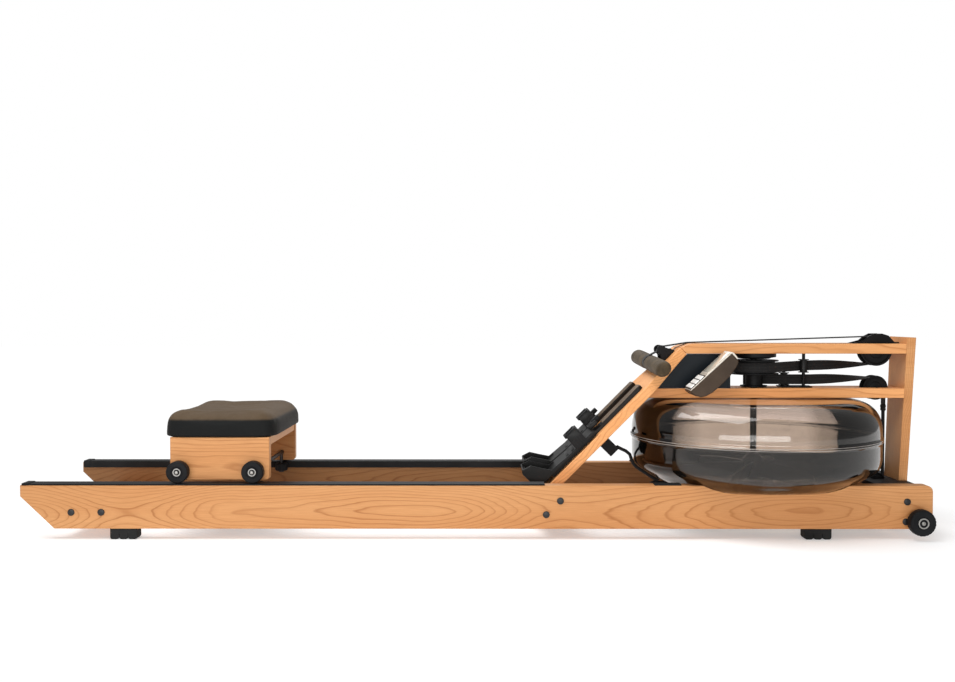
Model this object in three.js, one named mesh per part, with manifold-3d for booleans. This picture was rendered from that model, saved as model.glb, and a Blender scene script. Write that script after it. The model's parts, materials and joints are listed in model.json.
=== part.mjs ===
// Water rowing machine with a wooden frame. Millimetres, +Z up, +X towards the water tank,
// -Y is the rower's right-hand side. Feet stand on z = 0.
import * as THREE from 'three';
import { mergeVertices } from 'three/addons/utils/BufferGeometryUtils.js';
import Module from 'manifold-3d';

const wasm = await Module();
wasm.setup();
const { Manifold, Mesh } = wasm;

// ---------------------------------------------------------------- driving dimensions
const gap = 0.3;                        // clearance between neighbouring parts
const railLength = 2100;
const railThickness = 33;
const railOuter = 200;                  // half width over both rails
const railInner = railOuter - railThickness;
const railBottom = 24.5;
const railTop = 124.5;
const railChamfer = { height: 74.7, length: 78 };
const trackLength = 1203;
const trackTop = railTop + 3.5;
const spacerHalf = railInner - gap;
const plank = 22;                       // thickness of the frame's planks

const incline = THREE.MathUtils.degToRad(45.3);   // footboard
const boardFoot = new THREE.Vector3(1229.2, 0, 114.9);
const board = { start: -78, end: 453, half: 105, neck: 52.3 };

const deckHalf = 52.3;
const topDeck = { bottom: 422.5, top: 446.5 };
const lowerDeck = { bottom: 314.5, top: 337.5 };
const post = { bottom: 30, top: 463, footX: 2082, lean: 18.3, thickness: 21, footHalf: 42, headHalf: 52.3 };

const tankX = 1740.5;
const tankLowerProfile = [[0, 103], [190, 103], [212, 105], [232, 109], [248, 116.5], [266, 128.5],
  [290, 145], [299, 165], [300.4, 213], [303.4, 214.8], [303.4, 218.3]];
const tankUpperProfile = [[303.4, 218.6], [303.4, 222], [300.4, 223.8], [299.5, 246], [294, 271], [282, 291],
  [264, 304], [238, 310.8], [204, 312.3], [18, 312.3]];
const neckTop = 331;

const strap = { width: 25, thickness: 3 };
const cordRadius = 4.25;
const topPulley = { x: 2040, z: 430, groove: 32, flange: 39.5, width: 29 };
const lowerPulley = { x: 2038.5, z: 337, groove: 22.5, flange: 30.5, width: 28.6 };
const basePulley = { x: 2046, z: 106, groove: 12, flange: 20, width: 16 };
const spool = { drive: 51, driveFlange: 60, recoil: 22, recoilFlange: 33 };
const upperGuide = { x: 1861, y: -10.8, z: 391 };
const lowerGuide = { x: 1819, y: 10.8, z: 357 };
const guideRadius = 9;

const seat = { rear: 338, front: 569, half: 172, side: 20, bottom: 133, top: 232 };
const seatWheel = { radius: 25.5, inner: 175.5, outer: 198.5, xs: [360, 533.5] };
const axleZ = trackTop + gap + seatWheel.radius;
const centring = { y: 147.2, radius: 16, bottom: 106, top: 126 };
const cushion = { x: 451, halfX: 133.5, halfY: 177, bottom: 232.4 };

const handle = { s: 379.4, h: 20.5, half: 205, tilt: THREE.MathUtils.degToRad(2.2) };
const rest = { s: 421, h: 17, bar: 11 };
const monitor = { foot: new THREE.Vector3(1556.9, 0, 342.9), angle: THREE.MathUtils.degToRad(42.7),
  near: -150, far: -80 };
const rollingWheel = { x: 2067.5, z: 42.5, radius: 30.5 };

// the part is stored with its middle at x = 0
const middleX = (post.footX + post.lean + post.thickness) / 2;

// ---------------------------------------------------------------- materials
const wood = { color: 0xd9a066, roughness: 0.5, metalness: 0 };
const plastic = { color: 0x1b1b1d, roughness: 0.5, metalness: 0 };
const rubber = { color: 0x151515, roughness: 0.85, metalness: 0 };
const webbing = { color: 0x141414, roughness: 0.9, metalness: 0 };
const smoke = { color: 0x6d6a66, roughness: 0.12, metalness: 0 };
const steel = { color: 0x9a9a9c, roughness: 0.35, metalness: 0.9 };
const foam = { color: 0x3b3733, roughness: 0.75, metalness: 0 };
const silver = { color: 0xc4c4c2, roughness: 0.35, metalness: 0.4 };
const taupe = { color: 0x6b655c, roughness: 0.45, metalness: 0 };
const navy = { color: 0x1c2330, roughness: 0.4, metalness: 0 };
const pale = { color: 0xe6e6e2, roughness: 0.4, metalness: 0 };

// ---------------------------------------------------------------- assembly groups
const rower = new THREE.Group();
rower.name = 'rowing_machine';
const machine = new THREE.Group();       // measured from the rails' rear end
machine.position.x = -middleX;
rower.add(machine);

function group(name, x = 0, z = 0) {
  const g = new THREE.Group();
  g.name = name;
  g.position.set(x, 0, z);
  machine.add(g);
  return g;
}
const frame = group('frame');
const slope = group('slope', boardFoot.x, boardFoot.z);   // x up the footboard, z out of its front
slope.rotation.y = -incline;
const tank = group('tank', tankX);
const drive = group('drive');
const seatGroup = group('seat');
const readout = group('readout', monitor.foot.x, monitor.foot.z);
readout.rotation.y = -monitor.angle;

// ---------------------------------------------------------------- solid helpers
function weld(geometry) {
  const g = geometry.clone();
  g.deleteAttribute('normal');
  g.deleteAttribute('uv');
  return mergeVertices(g, 1e-4);
}

function toSolid(geometry) {
  const g = weld(geometry);
  const mesh = new Mesh({
    numProp: 3,
    vertProperties: new Float32Array(g.attributes.position.array),
    triVerts: new Uint32Array(g.index.array),
  });
  mesh.merge();
  const body = new Manifold(mesh);
  if (body.volume() >= 0) return body;
  const flipped = Uint32Array.from(g.index.array);
  for (let i = 0; i < flipped.length; i += 3) [flipped[i], flipped[i + 1]] = [flipped[i + 1], flipped[i]];
  const turned = new Mesh({
    numProp: 3,
    vertProperties: new Float32Array(g.attributes.position.array),
    triVerts: flipped,
  });
  turned.merge();
  return new Manifold(turned);
}

function toGeometry(body) {
  const mesh = body.getMesh();
  const g = new THREE.BufferGeometry();
  g.setAttribute('position', new THREE.BufferAttribute(Float32Array.from(mesh.vertProperties), 3));
  g.setIndex(Array.from(mesh.triVerts));
  return g;
}

const cut = (geometry, ...tools) => toGeometry(tools.reduce((body, t) => body.subtract(toSolid(t)),
  toSolid(geometry)));
const join = (...parts) => toGeometry(parts.map(toSolid).reduce((a, b) => a.add(b)));

function add(parent, name, geometry, look) {
  const g = toGeometry(toSolid(geometry));
  g.computeVertexNormals();
  const mesh = new THREE.Mesh(g, new THREE.MeshStandardMaterial(look));
  mesh.name = name;
  parent.add(mesh);
  return mesh;
}

function extrude(points, depth, bevel = 0, holes = []) {
  const shape = new THREE.Shape(points.map(([x, y]) => new THREE.Vector2(x, y)));
  for (const h of holes) shape.holes.push(new THREE.Path(h.map(([x, y]) => new THREE.Vector2(x, y))));
  return new THREE.ExtrudeGeometry(shape, {
    depth: depth - 2 * bevel, bevelEnabled: bevel > 0, bevelThickness: bevel, bevelSize: bevel,
    bevelOffset: -bevel, bevelSegments: 1, steps: 1,
  }).translate(0, 0, bevel);
}

// side profile in x-z, between two y values
const alongY = (points, y0, y1, bevel = 0, holes = []) =>
  extrude(points, y1 - y0, bevel, holes).rotateX(Math.PI / 2).translate(0, y1, 0);

// cross-section in y-z, between two x values
const alongX = (points, x0, x1, bevel = 0) =>
  extrude(points, x1 - x0, bevel).applyMatrix4(new THREE.Matrix4()
    .set(0, 0, 1, x0, 1, 0, 0, 0, 0, 1, 0, 0, 0, 0, 0, 1));

// plan outline in x-y, between two z values
const alongZ = (points, z0, z1, bevel = 0, holes = []) => extrude(points, z1 - z0, bevel, holes)
  .translate(0, 0, z0);

const box = (x0, x1, y0, y1, z0, z1, bevel = 0) =>
  alongZ([[x0, y0], [x1, y0], [x1, y1], [x0, y1]], z0, z1, bevel);

const mirrorY = (points) => points.map(([x, y]) => [x, -y]).reverse();

function circle(x, y, radius, count = 24) {
  return Array.from({ length: count }, (_, i) => {
    const t = (2 * Math.PI * i) / count;
    return [x + radius * Math.cos(t), y + radius * Math.sin(t)];
  });
}

function arc(x, y, radius, from, to, count) {
  return Array.from({ length: count + 1 }, (_, i) => {
    const t = THREE.MathUtils.degToRad(from + ((to - from) * i) / count);
    return [x + radius * Math.cos(t), y + radius * Math.sin(t)];
  });
}

const lathe = (profile, count) => new THREE.LatheGeometry(profile.map(([r, h]) => new THREE.Vector2(r, h)),
  count);
const turnZ = (profile, x, y, count = 32) => lathe(profile, count).rotateX(Math.PI / 2).translate(x, y, 0);
// profile heights run towards +Y, side = -1 turns them towards -Y
const turnY = (profile, x, z, side = 1, count = 32) =>
  lathe(profile.map(([r, h]) => [r, side * h]), count).translate(x, 0, z);
const rodY = (x, z, radius, y0, y1, count = 20) =>
  turnY([[0, y0], [radius, y0], [radius, y1], [0, y1]], x, z, 1, count);

// point of the slope group, s up the footboard and h out of its front face, in the machine's frame
const boardPoint = (s, h) => new THREE.Vector3(s, 0, h).applyAxisAngle(new THREE.Vector3(0, 1, 0), -incline)
  .add(boardFoot);

// strip or cord swept through stations {p, across, w, t}: w across, t thick, eight-sided section
function sweep(stations) {
  const position = [];
  const index = [];
  const n = stations.length;
  stations.forEach(({ p, across, w, t, round }, i) => {
    const a = stations[Math.max(i - 1, 0)].p;
    const b = stations[Math.min(i + 1, n - 1)].p;
    const dir = b.clone().sub(a).normalize();
    const u = across.clone().addScaledVector(dir, -across.dot(dir)).normalize();
    const v = dir.clone().cross(u);
    const k = round ? 0.7071 : 1;
    for (const [cu, cv] of [[1, 0], [k, k], [0, 1], [-k, k], [-1, 0], [-k, -k], [0, -1], [k, -k]]) {
      const q = p.clone().addScaledVector(u, (cu * w) / 2).addScaledVector(v, (cv * t) / 2);
      position.push(q.x, q.y, q.z);
    }
  });
  for (let i = 0; i < n - 1; i++) {
    for (let j = 0; j < 8; j++) {
      const a = 8 * i + j;
      const b = 8 * i + ((j + 1) % 8);
      index.push(a, b, a + 8, b, b + 8, a + 8);
    }
  }
  for (let j = 1; j < 7; j++) {
    index.push(0, j + 1, j);
    index.push(8 * (n - 1), 8 * (n - 1) + j, 8 * (n - 1) + j + 1);
  }
  const g = new THREE.BufferGeometry();
  g.setAttribute('position', new THREE.BufferAttribute(new Float32Array(position), 3));
  g.setIndex(index);
  return g;
}

// ---------------------------------------------------------------- rails, tracks, feet
const railProfile = [
  [0, railBottom + railChamfer.height], [railChamfer.length, railBottom], [railLength, railBottom],
  ...arc(railLength - 14, railTop - 14, 14, 0, 90, 4), [0, railTop],
];
const wheelBore = circle(rollingWheel.x, rollingWheel.z, 5.4, 12);
const cradle = turnZ([...tankLowerProfile.slice(0, 6).map(([r, z]) => [r && r + 0.8, z - 0.8]), [0, 126.2]],
  tankX, 0, 48);
const trackSection = [
  [railOuter - 0.6, railTop + gap], [railOuter - 0.6, trackTop], [railInner - 3.6, trackTop],
  [railInner - 3.6, railTop - 13.5], [railInner - gap, railTop - 13.5], [railInner - gap, railTop + gap],
];
const footProfile = (x) => [
  [x - 31, railBottom - gap], [x - 31, 5], ...arc(x - 26, 5, 5, 180, 270, 2),
  ...arc(x - 15.5, 5, 5, 270, 360, 2),
  [x - 10.5, 13], [x - 9.5, 13], [x - 9.5, 5], ...arc(x - 5, 4.5, 4.5, 180, 270, 2),
  ...arc(x + 5, 4.5, 4.5, 270, 360, 2),
  [x + 9.5, 13], [x + 10.5, 13], [x + 10.5, 5], ...arc(x + 15.5, 5, 5, 180, 270, 2),
  ...arc(x + 26, 5, 5, 270, 360, 2),
  [x + 31, railBottom - gap],
];
for (const [side, s] of [['right', -1], ['left', 1]]) {
  const y0 = s < 0 ? -railOuter : railInner;
  add(frame, `rail_${side}`, cut(alongY(railProfile, y0, y0 + railThickness, 1.2, [wheelBore]),
    cradle.clone()), wood);
  const section = s < 0 ? mirrorY(trackSection.map(([y, z]) => [z, y])).map(([z, y]) => [y, z])
    : trackSection;
  add(frame, `track_${side}`, alongX(section, 5, 5 + trackLength), plastic);
  for (const [where, x] of [['rear', 237.5], ['front', 1837]]) {
    add(frame, `foot_${where}_${side}`, alongY(footProfile(x), y0 + 1.5, y0 + railThickness - 1.5), rubber);
  }
  add(frame, `transport_wheel_${side}`, turnY([
    [0, 190], [5, 190], [5, 203.5], [27, 203.5], [rollingWheel.radius, 207], [rollingWheel.radius, 223],
    [27, 228],
    [13, 228], [12, 226], [0, 226],
  ], 0, 0, s, 24), rubber).position.set(rollingWheel.x, 0, rollingWheel.z);
}

// ---------------------------------------------------------------- spacers and base plate
add(frame, 'rear_spacer', box(92, 212, -spacerHalf, spacerHalf, 51.5, 73.5, 1), wood);
add(slope, 'mid_spacer', box(-76, 14, -spacerHalf, spacerHalf, -2 * plank - gap, -plank - gap, 1), wood);
add(frame, 'front_spacer', cut(
  alongZ([[2028, -spacerHalf], [2050, -spacerHalf], [2050, -41], [2081.4, -41], [2081.4, 41], [2050, 41],
    [2050, spacerHalf], [2028, spacerHalf]], 30, 99.7, 1),
  box(2020, 2090, -11, 11, 82, 110),
), wood);
add(frame, 'base_plate', cut(
  alongZ([[2005, -spacerHalf], [2104, -spacerHalf], [2104, -45], [2084, -45], [2084, 45], [2104, 45],
    [2104, spacerHalf], [2005, spacerHalf]], 100, 112, 1.5),
  box(2023, 2069, -9, 9, 90, 120),
  rodY(basePulley.x, basePulley.z, 3.3, -22, 22, 12),
), plastic);

// ---------------------------------------------------------------- footboard, decks, post
const shoulder = [[325, board.half], [338, 101.5], [365, 88], [392, 74], [420, 62], [440, 55.5],
  [board.end, board.neck]];
const boardOutline = [[board.start, -board.half], ...shoulder.map(([s, y]) => [s, -y]),
  ...shoulder.map(([s, y]) => [s, y]).reverse(), [board.start, board.half]];
add(slope, 'footboard', alongZ(boardOutline, -plank, 0, 1.2), wood);

const boardEnd = [boardPoint(board.end + gap, 0), boardPoint(board.end + gap, -plank)];
const boardBack = (z) => {
  const s = (z - boardFoot.z + (plank + gap) * Math.cos(incline)) / Math.sin(incline);
  return boardPoint(s, -plank - gap).x;
};
const postFace = (z) => post.footX + (post.lean * (z - post.bottom)) / (post.top - post.bottom);

add(frame, 'top_deck', cut(
  alongY([[boardEnd[0].x, boardEnd[0].z], [boardEnd[1].x, topDeck.bottom],
    [postFace(topDeck.bottom) - gap, topDeck.bottom],
    [postFace(topDeck.top) - gap, topDeck.top], [1573, topDeck.top]], -deckHalf, deckHalf, 1),
  box(topPulley.x - 42, topPulley.x + 42, -topPulley.width / 2 - 0.6, topPulley.width / 2 + 0.6, 400, 470),
  rodY(topPulley.x, topPulley.z, 5.3, -30, 30, 16),
), wood);
add(frame, 'lower_deck', cut(
  alongY([[boardBack(lowerDeck.bottom), lowerDeck.bottom],
    [postFace(lowerDeck.bottom) - gap, lowerDeck.bottom],
    [postFace(lowerDeck.top) - gap, lowerDeck.top], [boardBack(lowerDeck.top), lowerDeck.top]],
  -deckHalf, deckHalf, 1),
  turnZ([[0, 300], [20, 300], [20, 350], [0, 350]], tankX, 0, 32),
  box(lowerPulley.x - 37, lowerPulley.x + 37, -lowerPulley.width / 2 - 0.6, lowerPulley.width / 2 + 0.6,
    300, 350),
  rodY(lowerPulley.x, lowerPulley.z, 3.8, -26, 26, 16),
), wood);

// plank leaning forwards and widening upwards
function leaningPost() {
  const { bottom: z0, top: z1, footX: x0, lean, thickness: t, footHalf: a, headHalf: b } = post;
  const corners = [[x0, -a, z0], [x0 + t, -a, z0], [x0 + t, a, z0], [x0, a, z0],
    [x0 + lean, -b, z1], [x0 + lean + t, -b, z1 - 1], [x0 + lean + t, b, z1 - 1], [x0 + lean, b, z1]];
  const faces = [[0, 3, 2, 1], [4, 5, 6, 7], [0, 1, 5, 4], [1, 2, 6, 5], [2, 3, 7, 6], [3, 0, 4, 7]];
  const g = new THREE.BufferGeometry();
  g.setAttribute('position', new THREE.BufferAttribute(new Float32Array(corners.flat()), 3));
  g.setIndex(faces.flatMap(([p, q, r, s]) => [p, q, r, p, r, s]));
  return g;
}
add(frame, 'front_post', leaningPost(), wood);

// ---------------------------------------------------------------- water tank
const lowerInside = [[296, 218.3], [295.5, 190], [293.5, 166], [284, 147.5], [258, 128.5], [228, 113],
  [200, 108.5], [0, 107]];
const upperInside = [[9.2, 308], [204, 308], [238, 306], [262, 299], [288, 275], [296, 245], [296, 218.6]];
add(tank, 'tank_lower_shell', turnZ([...tankLowerProfile, ...lowerInside], 0, 0, 48), smoke);
add(tank, 'tank_upper_shell', turnZ([...tankUpperProfile, [17, neckTop], [9.2, neckTop], ...upperInside,
  tankUpperProfile[0]], 0, 0, 48), smoke);

const blade = [[10, 118], [150, 112], [194, 117], [202, 131], [188, 144], [120, 152], [10, 155]];
const paddleParts = [turnZ([[0, 111], [24, 111], [26, 115], [26, 160], [14, 172], [8, 176], [8, 408],
  [0, 408]], 0, 0, 24)];
for (let i = 0; i < 6; i++) {
  paddleParts.push(alongY(blade, -2.5, 2.5).rotateX(-0.35).translate(0, -46.5, 8).rotateZ((i * Math.PI) / 3));
}
add(tank, 'paddle', join(...paddleParts), plastic);

// ---------------------------------------------------------------- drive train
add(tank, 'shaft_bearing', turnZ([[8.4, 409], [40, 409], [54, 413], [54, topDeck.bottom - gap],
  [8.4, topDeck.bottom - gap], [8.4, 409]],
  0, 0, 32), plastic);
add(tank, 'drive_spool', turnZ([
  [8.4, 339.5], [spool.recoilFlange, 339.5], [spool.recoilFlange, 342.4], [spool.recoil, 342.6],
  [spool.recoil, 369.8],
  [spool.driveFlange, 370], [spool.driveFlange, 373.6], [spool.drive, 374], [spool.drive, 402],
  [spool.driveFlange, 402.4],
  [spool.driveFlange, 405.6], [8.4, 405.6], [8.4, 339.5],
], 0, 0, 28), plastic);
add(drive, 'strap_guide_bracket', join(
  box(1804, 1878, -26, 26, lowerDeck.top + gap, 341.2, 1),
  turnZ([[0, 340], [4, 340], [4, 422.2], [0, 422.2]], upperGuide.x, upperGuide.y, 12),
  turnZ([[0, 340], [4, 340], [4, 375.5], [0, 375.5]], lowerGuide.x, lowerGuide.y, 12),
), plastic);
const guideRoller = (z0, z1) => turnZ([
  [4.3, z0], [13, z0], [13, z0 + 2], [guideRadius, z0 + 2.4], [guideRadius, z1 - 2.4], [13, z1 - 2],
  [13, z1], [4.3, z1], [4.3, z0],
], 0, 0, 16);
add(drive, 'upper_guide_roller', guideRoller(-16.5, 16.5), plastic).position.copy(upperGuide);
add(drive, 'lower_guide_roller', guideRoller(-15.4, 16.5), plastic).position.copy(lowerGuide);

// grooved pulley with its own stub axles
function addPulley(name, { x, z, groove, flange, width }, stub, reach, inner) {
  const wheel = turnY([
    [0, -reach], [stub, -reach], [stub, -width / 2], [flange, -width / 2], [groove, -inner], [groove, inner],
    [flange, width / 2], [stub, width / 2], [stub, reach], [0, reach],
  ], 0, 0, 1, 24);
  add(drive, name, wheel, plastic).position.set(x, 0, z);
}
addPulley('top_pulley', topPulley, 5, 29, 13);
addPulley('lower_pulley', lowerPulley, 3.5, 25, 13);
addPulley('base_pulley', basePulley, 3, 21, 4.5);
const cheek = [[topPulley.x - 62, topDeck.top + gap], [topPulley.x + 46, topDeck.top + gap],
  [topPulley.x + 40, 453],
  [topPulley.x + 28, 466], [topPulley.x + 12, 471], [topPulley.x - 8, 471], [topPulley.x - 22, 464],
  [topPulley.x - 34, 454]];
add(drive, 'top_pulley_cover', join(
  alongY(cheek, 14.6, 18.6), alongY(cheek, -18.6, -14.6),
  box(topPulley.x + 44, topPulley.x + 54, -18.6, 18.6, topDeck.top + gap, 450),
  box(topPulley.x + 38, topPulley.x + 46, -18.6, -14.6, topDeck.top + gap, 450),
  box(topPulley.x + 38, topPulley.x + 46, 14.6, 18.6, topDeck.top + gap, 450),
), plastic);

// stations of a straight run, turning its width from one direction to the other
function run(from, to, acrossFrom, acrossTo, count, section) {
  return Array.from({ length: count + 1 }, (_, i) => {
    const k = i / count;
    const turn = acrossFrom.angleTo(acrossTo) * k;
    const axis = acrossFrom.clone().cross(acrossTo);
    const across = axis.length() > 1e-6 ? acrossFrom.clone().applyAxisAngle(axis.normalize(), turn)
      : acrossFrom.clone();
    return { p: from.clone().lerp(to, k), across, ...section };
  });
}
// stations round a wheel turning about Y, angles in degrees in the x-z plane
const roundY = (x, z, radius, from, to, count, section) => arc(x, z, radius, from, to, count)
  .map(([px, pz]) => ({ p: new THREE.Vector3(px, 0, pz), across: new THREE.Vector3(0, 1, 0), ...section }));
// stations round a drum turning about Z
const roundZ = (x, y, z, radius, from, to, count, section) => arc(x, y, radius, from, to, count)
  .map(([px, py]) => ({ p: new THREE.Vector3(px, py, z), across: new THREE.Vector3(0, 0, 1), ...section }));

const V = (x, y, z) => new THREE.Vector3(x, y, z);
const Y = V(0, 1, 0);
const Z = V(0, 0, 1);
const tape = { w: strap.width, t: strap.thickness, round: false };
const lap = strap.thickness / 2 + 0.25;      // centre of the strap above what it lies on
const wrap = lap + 0.5;                      // the same round a wheel
const restBar = boardPoint(rest.s, rest.h);
const driveZ = 388;
const recoilZ = 356;

add(drive, 'drive_strap', sweep([
  ...roundY(restBar.x, restBar.z, rest.bar + lap, 135, 95, 3, tape),
  { p: V(1574, 0, topDeck.top + lap + 0.4), across: Y, ...tape },
  ...roundY(topPulley.x, topPulley.z, topPulley.groove + wrap, 88, -88, 12, tape),
  ...run(V(topPulley.x - 8, 0, topPulley.z - topPulley.groove - wrap), V(1885, 0, upperGuide.z + 1), Y, Z,
    9, tape),
  ...roundZ(upperGuide.x, upperGuide.y, upperGuide.z, guideRadius + lap, 90, 112, 2, tape),
  ...roundZ(tankX, 0, driveZ, spool.drive + wrap, -65, -170, 8, tape),
]), webbing);

// thin tape down to the front pulley, then round cord to the cleat
const cord = { w: 2 * cordRadius, t: 2 * cordRadius, round: true };
const cordX = lowerPulley.x + lowerPulley.groove + wrap;
const cleatEnd = [[1528, 98.2], [1507, 103.6], [1490, 111.4], [1471.5, 123.6], [1446, 141], [1436, 160],
  [1433, 169.5],
  [1425.5, 176.5], [1414, 181.5], [1406, 187]];
add(drive, 'recoil_strap', sweep([
  ...roundZ(tankX, 0, recoilZ, spool.recoil + wrap, 170, 80, 6, tape),
  ...roundZ(lowerGuide.x, lowerGuide.y, lowerGuide.z, guideRadius + lap, -112, -90, 2, tape),
  ...run(V(1880, 0, lowerGuide.z), V(lowerPulley.x - 6, 0, lowerPulley.z + lowerPulley.groove + wrap), Z, Y,
    9, tape),
  ...roundY(lowerPulley.x, lowerPulley.z, lowerPulley.groove + wrap, 86, 0, 6, tape),
  { p: V(cordX, 0, 296), across: Y, ...tape },
  { p: V(cordX, 0, 285), across: Y, w: 9, t: 8, round: true },
  { p: V(cordX, 0, 180), across: Y, ...cord },
  ...roundY(basePulley.x, basePulley.z, cordX - basePulley.x, 0, -90, 5, cord),
  ...cleatEnd.map(([x, z]) => ({ p: V(x, 0, z), across: Y, ...cord })),
]), webbing);
add(slope, 'bungee_cleat', box(145, 173, -19, 19, -74, -plank - gap, 1.5), plastic);
add(frame, 'side_panel', alongY([[boardBack(338) + 1.4, 338], [1671, 338], [1671, 420], [1669, 422],
  [boardBack(422) + 1.4, 422]], -47, -44),
  navy);

// ---------------------------------------------------------------- handle
const grip = handle.half;
const handleAt = boardPoint(handle.s, handle.h);
const pull = group('pull', handleAt.x, handleAt.z);
pull.rotation.x = handle.tilt;           // it lies a little lower on the right
add(pull, 'handle_bar', rodY(0, 0, 9, -186, 186, 16), steel);
for (const [side, s] of [['right', -1], ['left', 1]]) {
  const sleeve = add(pull, `grip_${side}`, turnY([
    [10.2, 15], [17, 15], [18.5, 17], [18.5, grip - 14], [15, grip - 4], [8, grip], [0, grip],
    [0, 186.5], [10.2, 186.5], [10.2, 15],
  ], 0, 0, s, 18).scale(1.08, 1, 0.93), rubber);
  sleeve.rotation.y = -incline;
}
const restCheek = [[404, 3], [439, 3], [438, 12], [432, 17], ...arc(420, 25, 11.5, -25, 205, 9), [409, 17],
  [405, 12]];
add(slope, 'handle_rest', join(
  box(401, 441, -25, 25, gap, 5.5, 1),
  alongY(restCheek, 18.5, 24.5),
  alongY(restCheek, -24.5, -18.5),
  rodY(rest.s, rest.h, rest.bar, -20, 20, 16),
), plastic);

// ---------------------------------------------------------------- seat
for (const [side, s] of [['right', -1], ['left', 1]]) {
  const y0 = s < 0 ? -seat.half : seat.half - seat.side;
  const outline = [...arc(seat.rear + 8, seat.bottom + 8, 8, 180, 270, 3),
    ...arc(seat.front - 8, seat.bottom + 8, 8, 270, 360, 3),
    [seat.front, seat.top], [seat.rear, seat.top]];
  add(seatGroup, `seat_side_${side}`, alongY(outline, y0, y0 + seat.side, 1.2,
    seatWheel.xs.map((x) => circle(x, axleZ, 5.5, 12))), wood);
  seatWheel.xs.forEach((x, i) => {
    add(seatGroup, `seat_wheel_${i ? 'front' : 'rear'}_${side}`, turnY([
      [5.4, seatWheel.inner], [24, seatWheel.inner], [seatWheel.radius, 177], [seatWheel.radius, 194],
      [24.3, 196.5],
      [14, 197.8], [13, 195.5], [5.4, 195.5], [5.4, seatWheel.inner],
    ], 0, 0, s, 22), rubber).position.set(x, 0, axleZ);
  });
  add(seatGroup, `centring_roller_${side}`, turnZ([
    [4.3, centring.bottom], [centring.radius - 2, centring.bottom], [centring.radius, centring.bottom + 2],
    [centring.radius, centring.top - 2], [centring.radius - 2, centring.top], [4.3, centring.top],
    [4.3, centring.bottom],
  ], seatWheel.xs[1], s * centring.y, 16), rubber);
}
add(seatGroup, 'seat_board', box(seat.rear + 2, seat.front - 2, -seat.half + seat.side + gap,
  seat.half - seat.side - gap, 212, seat.top, 1), wood);
add(seatGroup, 'seat_axle_rear', rodY(seatWheel.xs[0], axleZ, 5, -199, 199, 12), steel);
const stud = (s) => turnZ([[0, 102.5], [6.5, 102.5], [6.5, centring.bottom - gap],
  [4, centring.bottom - gap], [4, axleZ], [0, axleZ]],
  seatWheel.xs[1], s * centring.y, 10);
add(seatGroup, 'seat_axle_front', join(rodY(seatWheel.xs[1], axleZ, 5, -199, 199, 12), stud(-1), stud(1)),
  steel);

// contoured cushion: rounded rectangle with a rear notch and a dished top
function cushionShape() {
  const count = 48;
  const outline = (t, k) => {
    const c = Math.cos(t);
    const s = Math.sin(t);
    let x = Math.sign(c) * Math.abs(c) ** 0.25 * cushion.halfX * k;
    const y = Math.sign(s) * Math.abs(s) ** 0.25 * cushion.halfY * k;
    if (x < 0) x += 36 * k * Math.exp(-((y / 38) ** 2)) * (-x / cushion.halfX);
    return [x, y];
  };
  const crown = (x, y) => {
    const u = x / cushion.halfX;
    const v = Math.abs(y) / cushion.halfY;
    const dish = 13 * Math.exp(-(((u + 0.1) / 0.55) ** 2) - ((v - 0.45) / 0.32) ** 2);
    const channel = 13 * Math.exp(-((v / 0.15) ** 2)) * (0.6 - 0.4 * u);
    const sides = 4 * v * v;
    const nose = 12 * Math.max(0, u - 0.62) ** 2 / 0.14;
    return 293 - dish - channel + sides - nose;
  };
  const rings = [[0.965, 0], [0.99, 3], [1, 8], [0.995, 26], [0.982, 33]];
  const tops = [0.95, 0.9, 0.82, 0.7, 0.55, 0.38, 0.2];
  const edge = [14, 7.5, 2.6, 0.6, 0, 0, 0];
  const position = [cushion.x, 0, cushion.bottom];
  const levels = [
    ...rings.map(([k, dz]) => (t) => [...outline(t, k), cushion.bottom + dz]),
    ...tops.map((k, i) => (t) => [...outline(t, k), crown(...outline(t, k)) - edge[i]]),
  ];
  for (const level of levels) {
    for (let j = 0; j < count; j++) {
      const [x, y, z] = level((2 * Math.PI * (j + 0.5)) / count);
      position.push(cushion.x + x, y, z);
    }
  }
  position.push(cushion.x, 0, crown(0, 0));
  const last = position.length / 3 - 1;
  const index = [];
  for (let j = 0; j < count; j++) {
    const k = (j + 1) % count;
    index.push(0, 1 + k, 1 + j);
    for (let i = 0; i < levels.length - 1; i++) {
      const a = 1 + i * count;
      index.push(a + j, a + k, a + count + j, a + k, a + count + k, a + count + j);
    }
    const a = 1 + (levels.length - 1) * count;
    index.push(a + j, a + k, last);
  }
  const g = new THREE.BufferGeometry();
  g.setAttribute('position', new THREE.BufferAttribute(new Float32Array(position), 3));
  g.setIndex(index);
  return g;
}
add(seatGroup, 'seat_cushion', cushionShape(), foam);

// ---------------------------------------------------------------- foot stretchers
const heelSide = [[-40, 9.4], [-40, 62], [-33, 70], [-12, 63], [2, 41], [16, 20], [70, 15.4], [152, 15.4],
  [158, 9.4]];
for (const [side, s] of [['right', -1], ['left', 1]]) {
  const y0 = s < 0 ? -100 : 6;
  const lift = s < 0 ? 6 : 16;
  const ribs = Array.from({ length: 4 },
    (_, i) => box(188, 316, y0 + 27 + 11 * i, y0 + 32 + 11 * i, 7, 10.5));
  add(slope, `stretcher_base_${side}`, join(
    alongZ([[12, y0 + 22], [310, y0 + 22], [318, y0 + 30], [318, y0 + 62], [310, y0 + 70], [12, y0 + 70]],
      gap, 8),
    ...ribs,
  ), plastic);
  add(slope, `heel_slide_${side}`, cut(
    alongY(heelSide, y0, y0 + 94, 1.5),
    box(-31, 30, y0 + 5, y0 + 89, 15.4, 100),
    box(-45, 165, y0 + 21.5, y0 + 70.5, 5, 11),
  ), plastic).position.x = lift;
}

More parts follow.
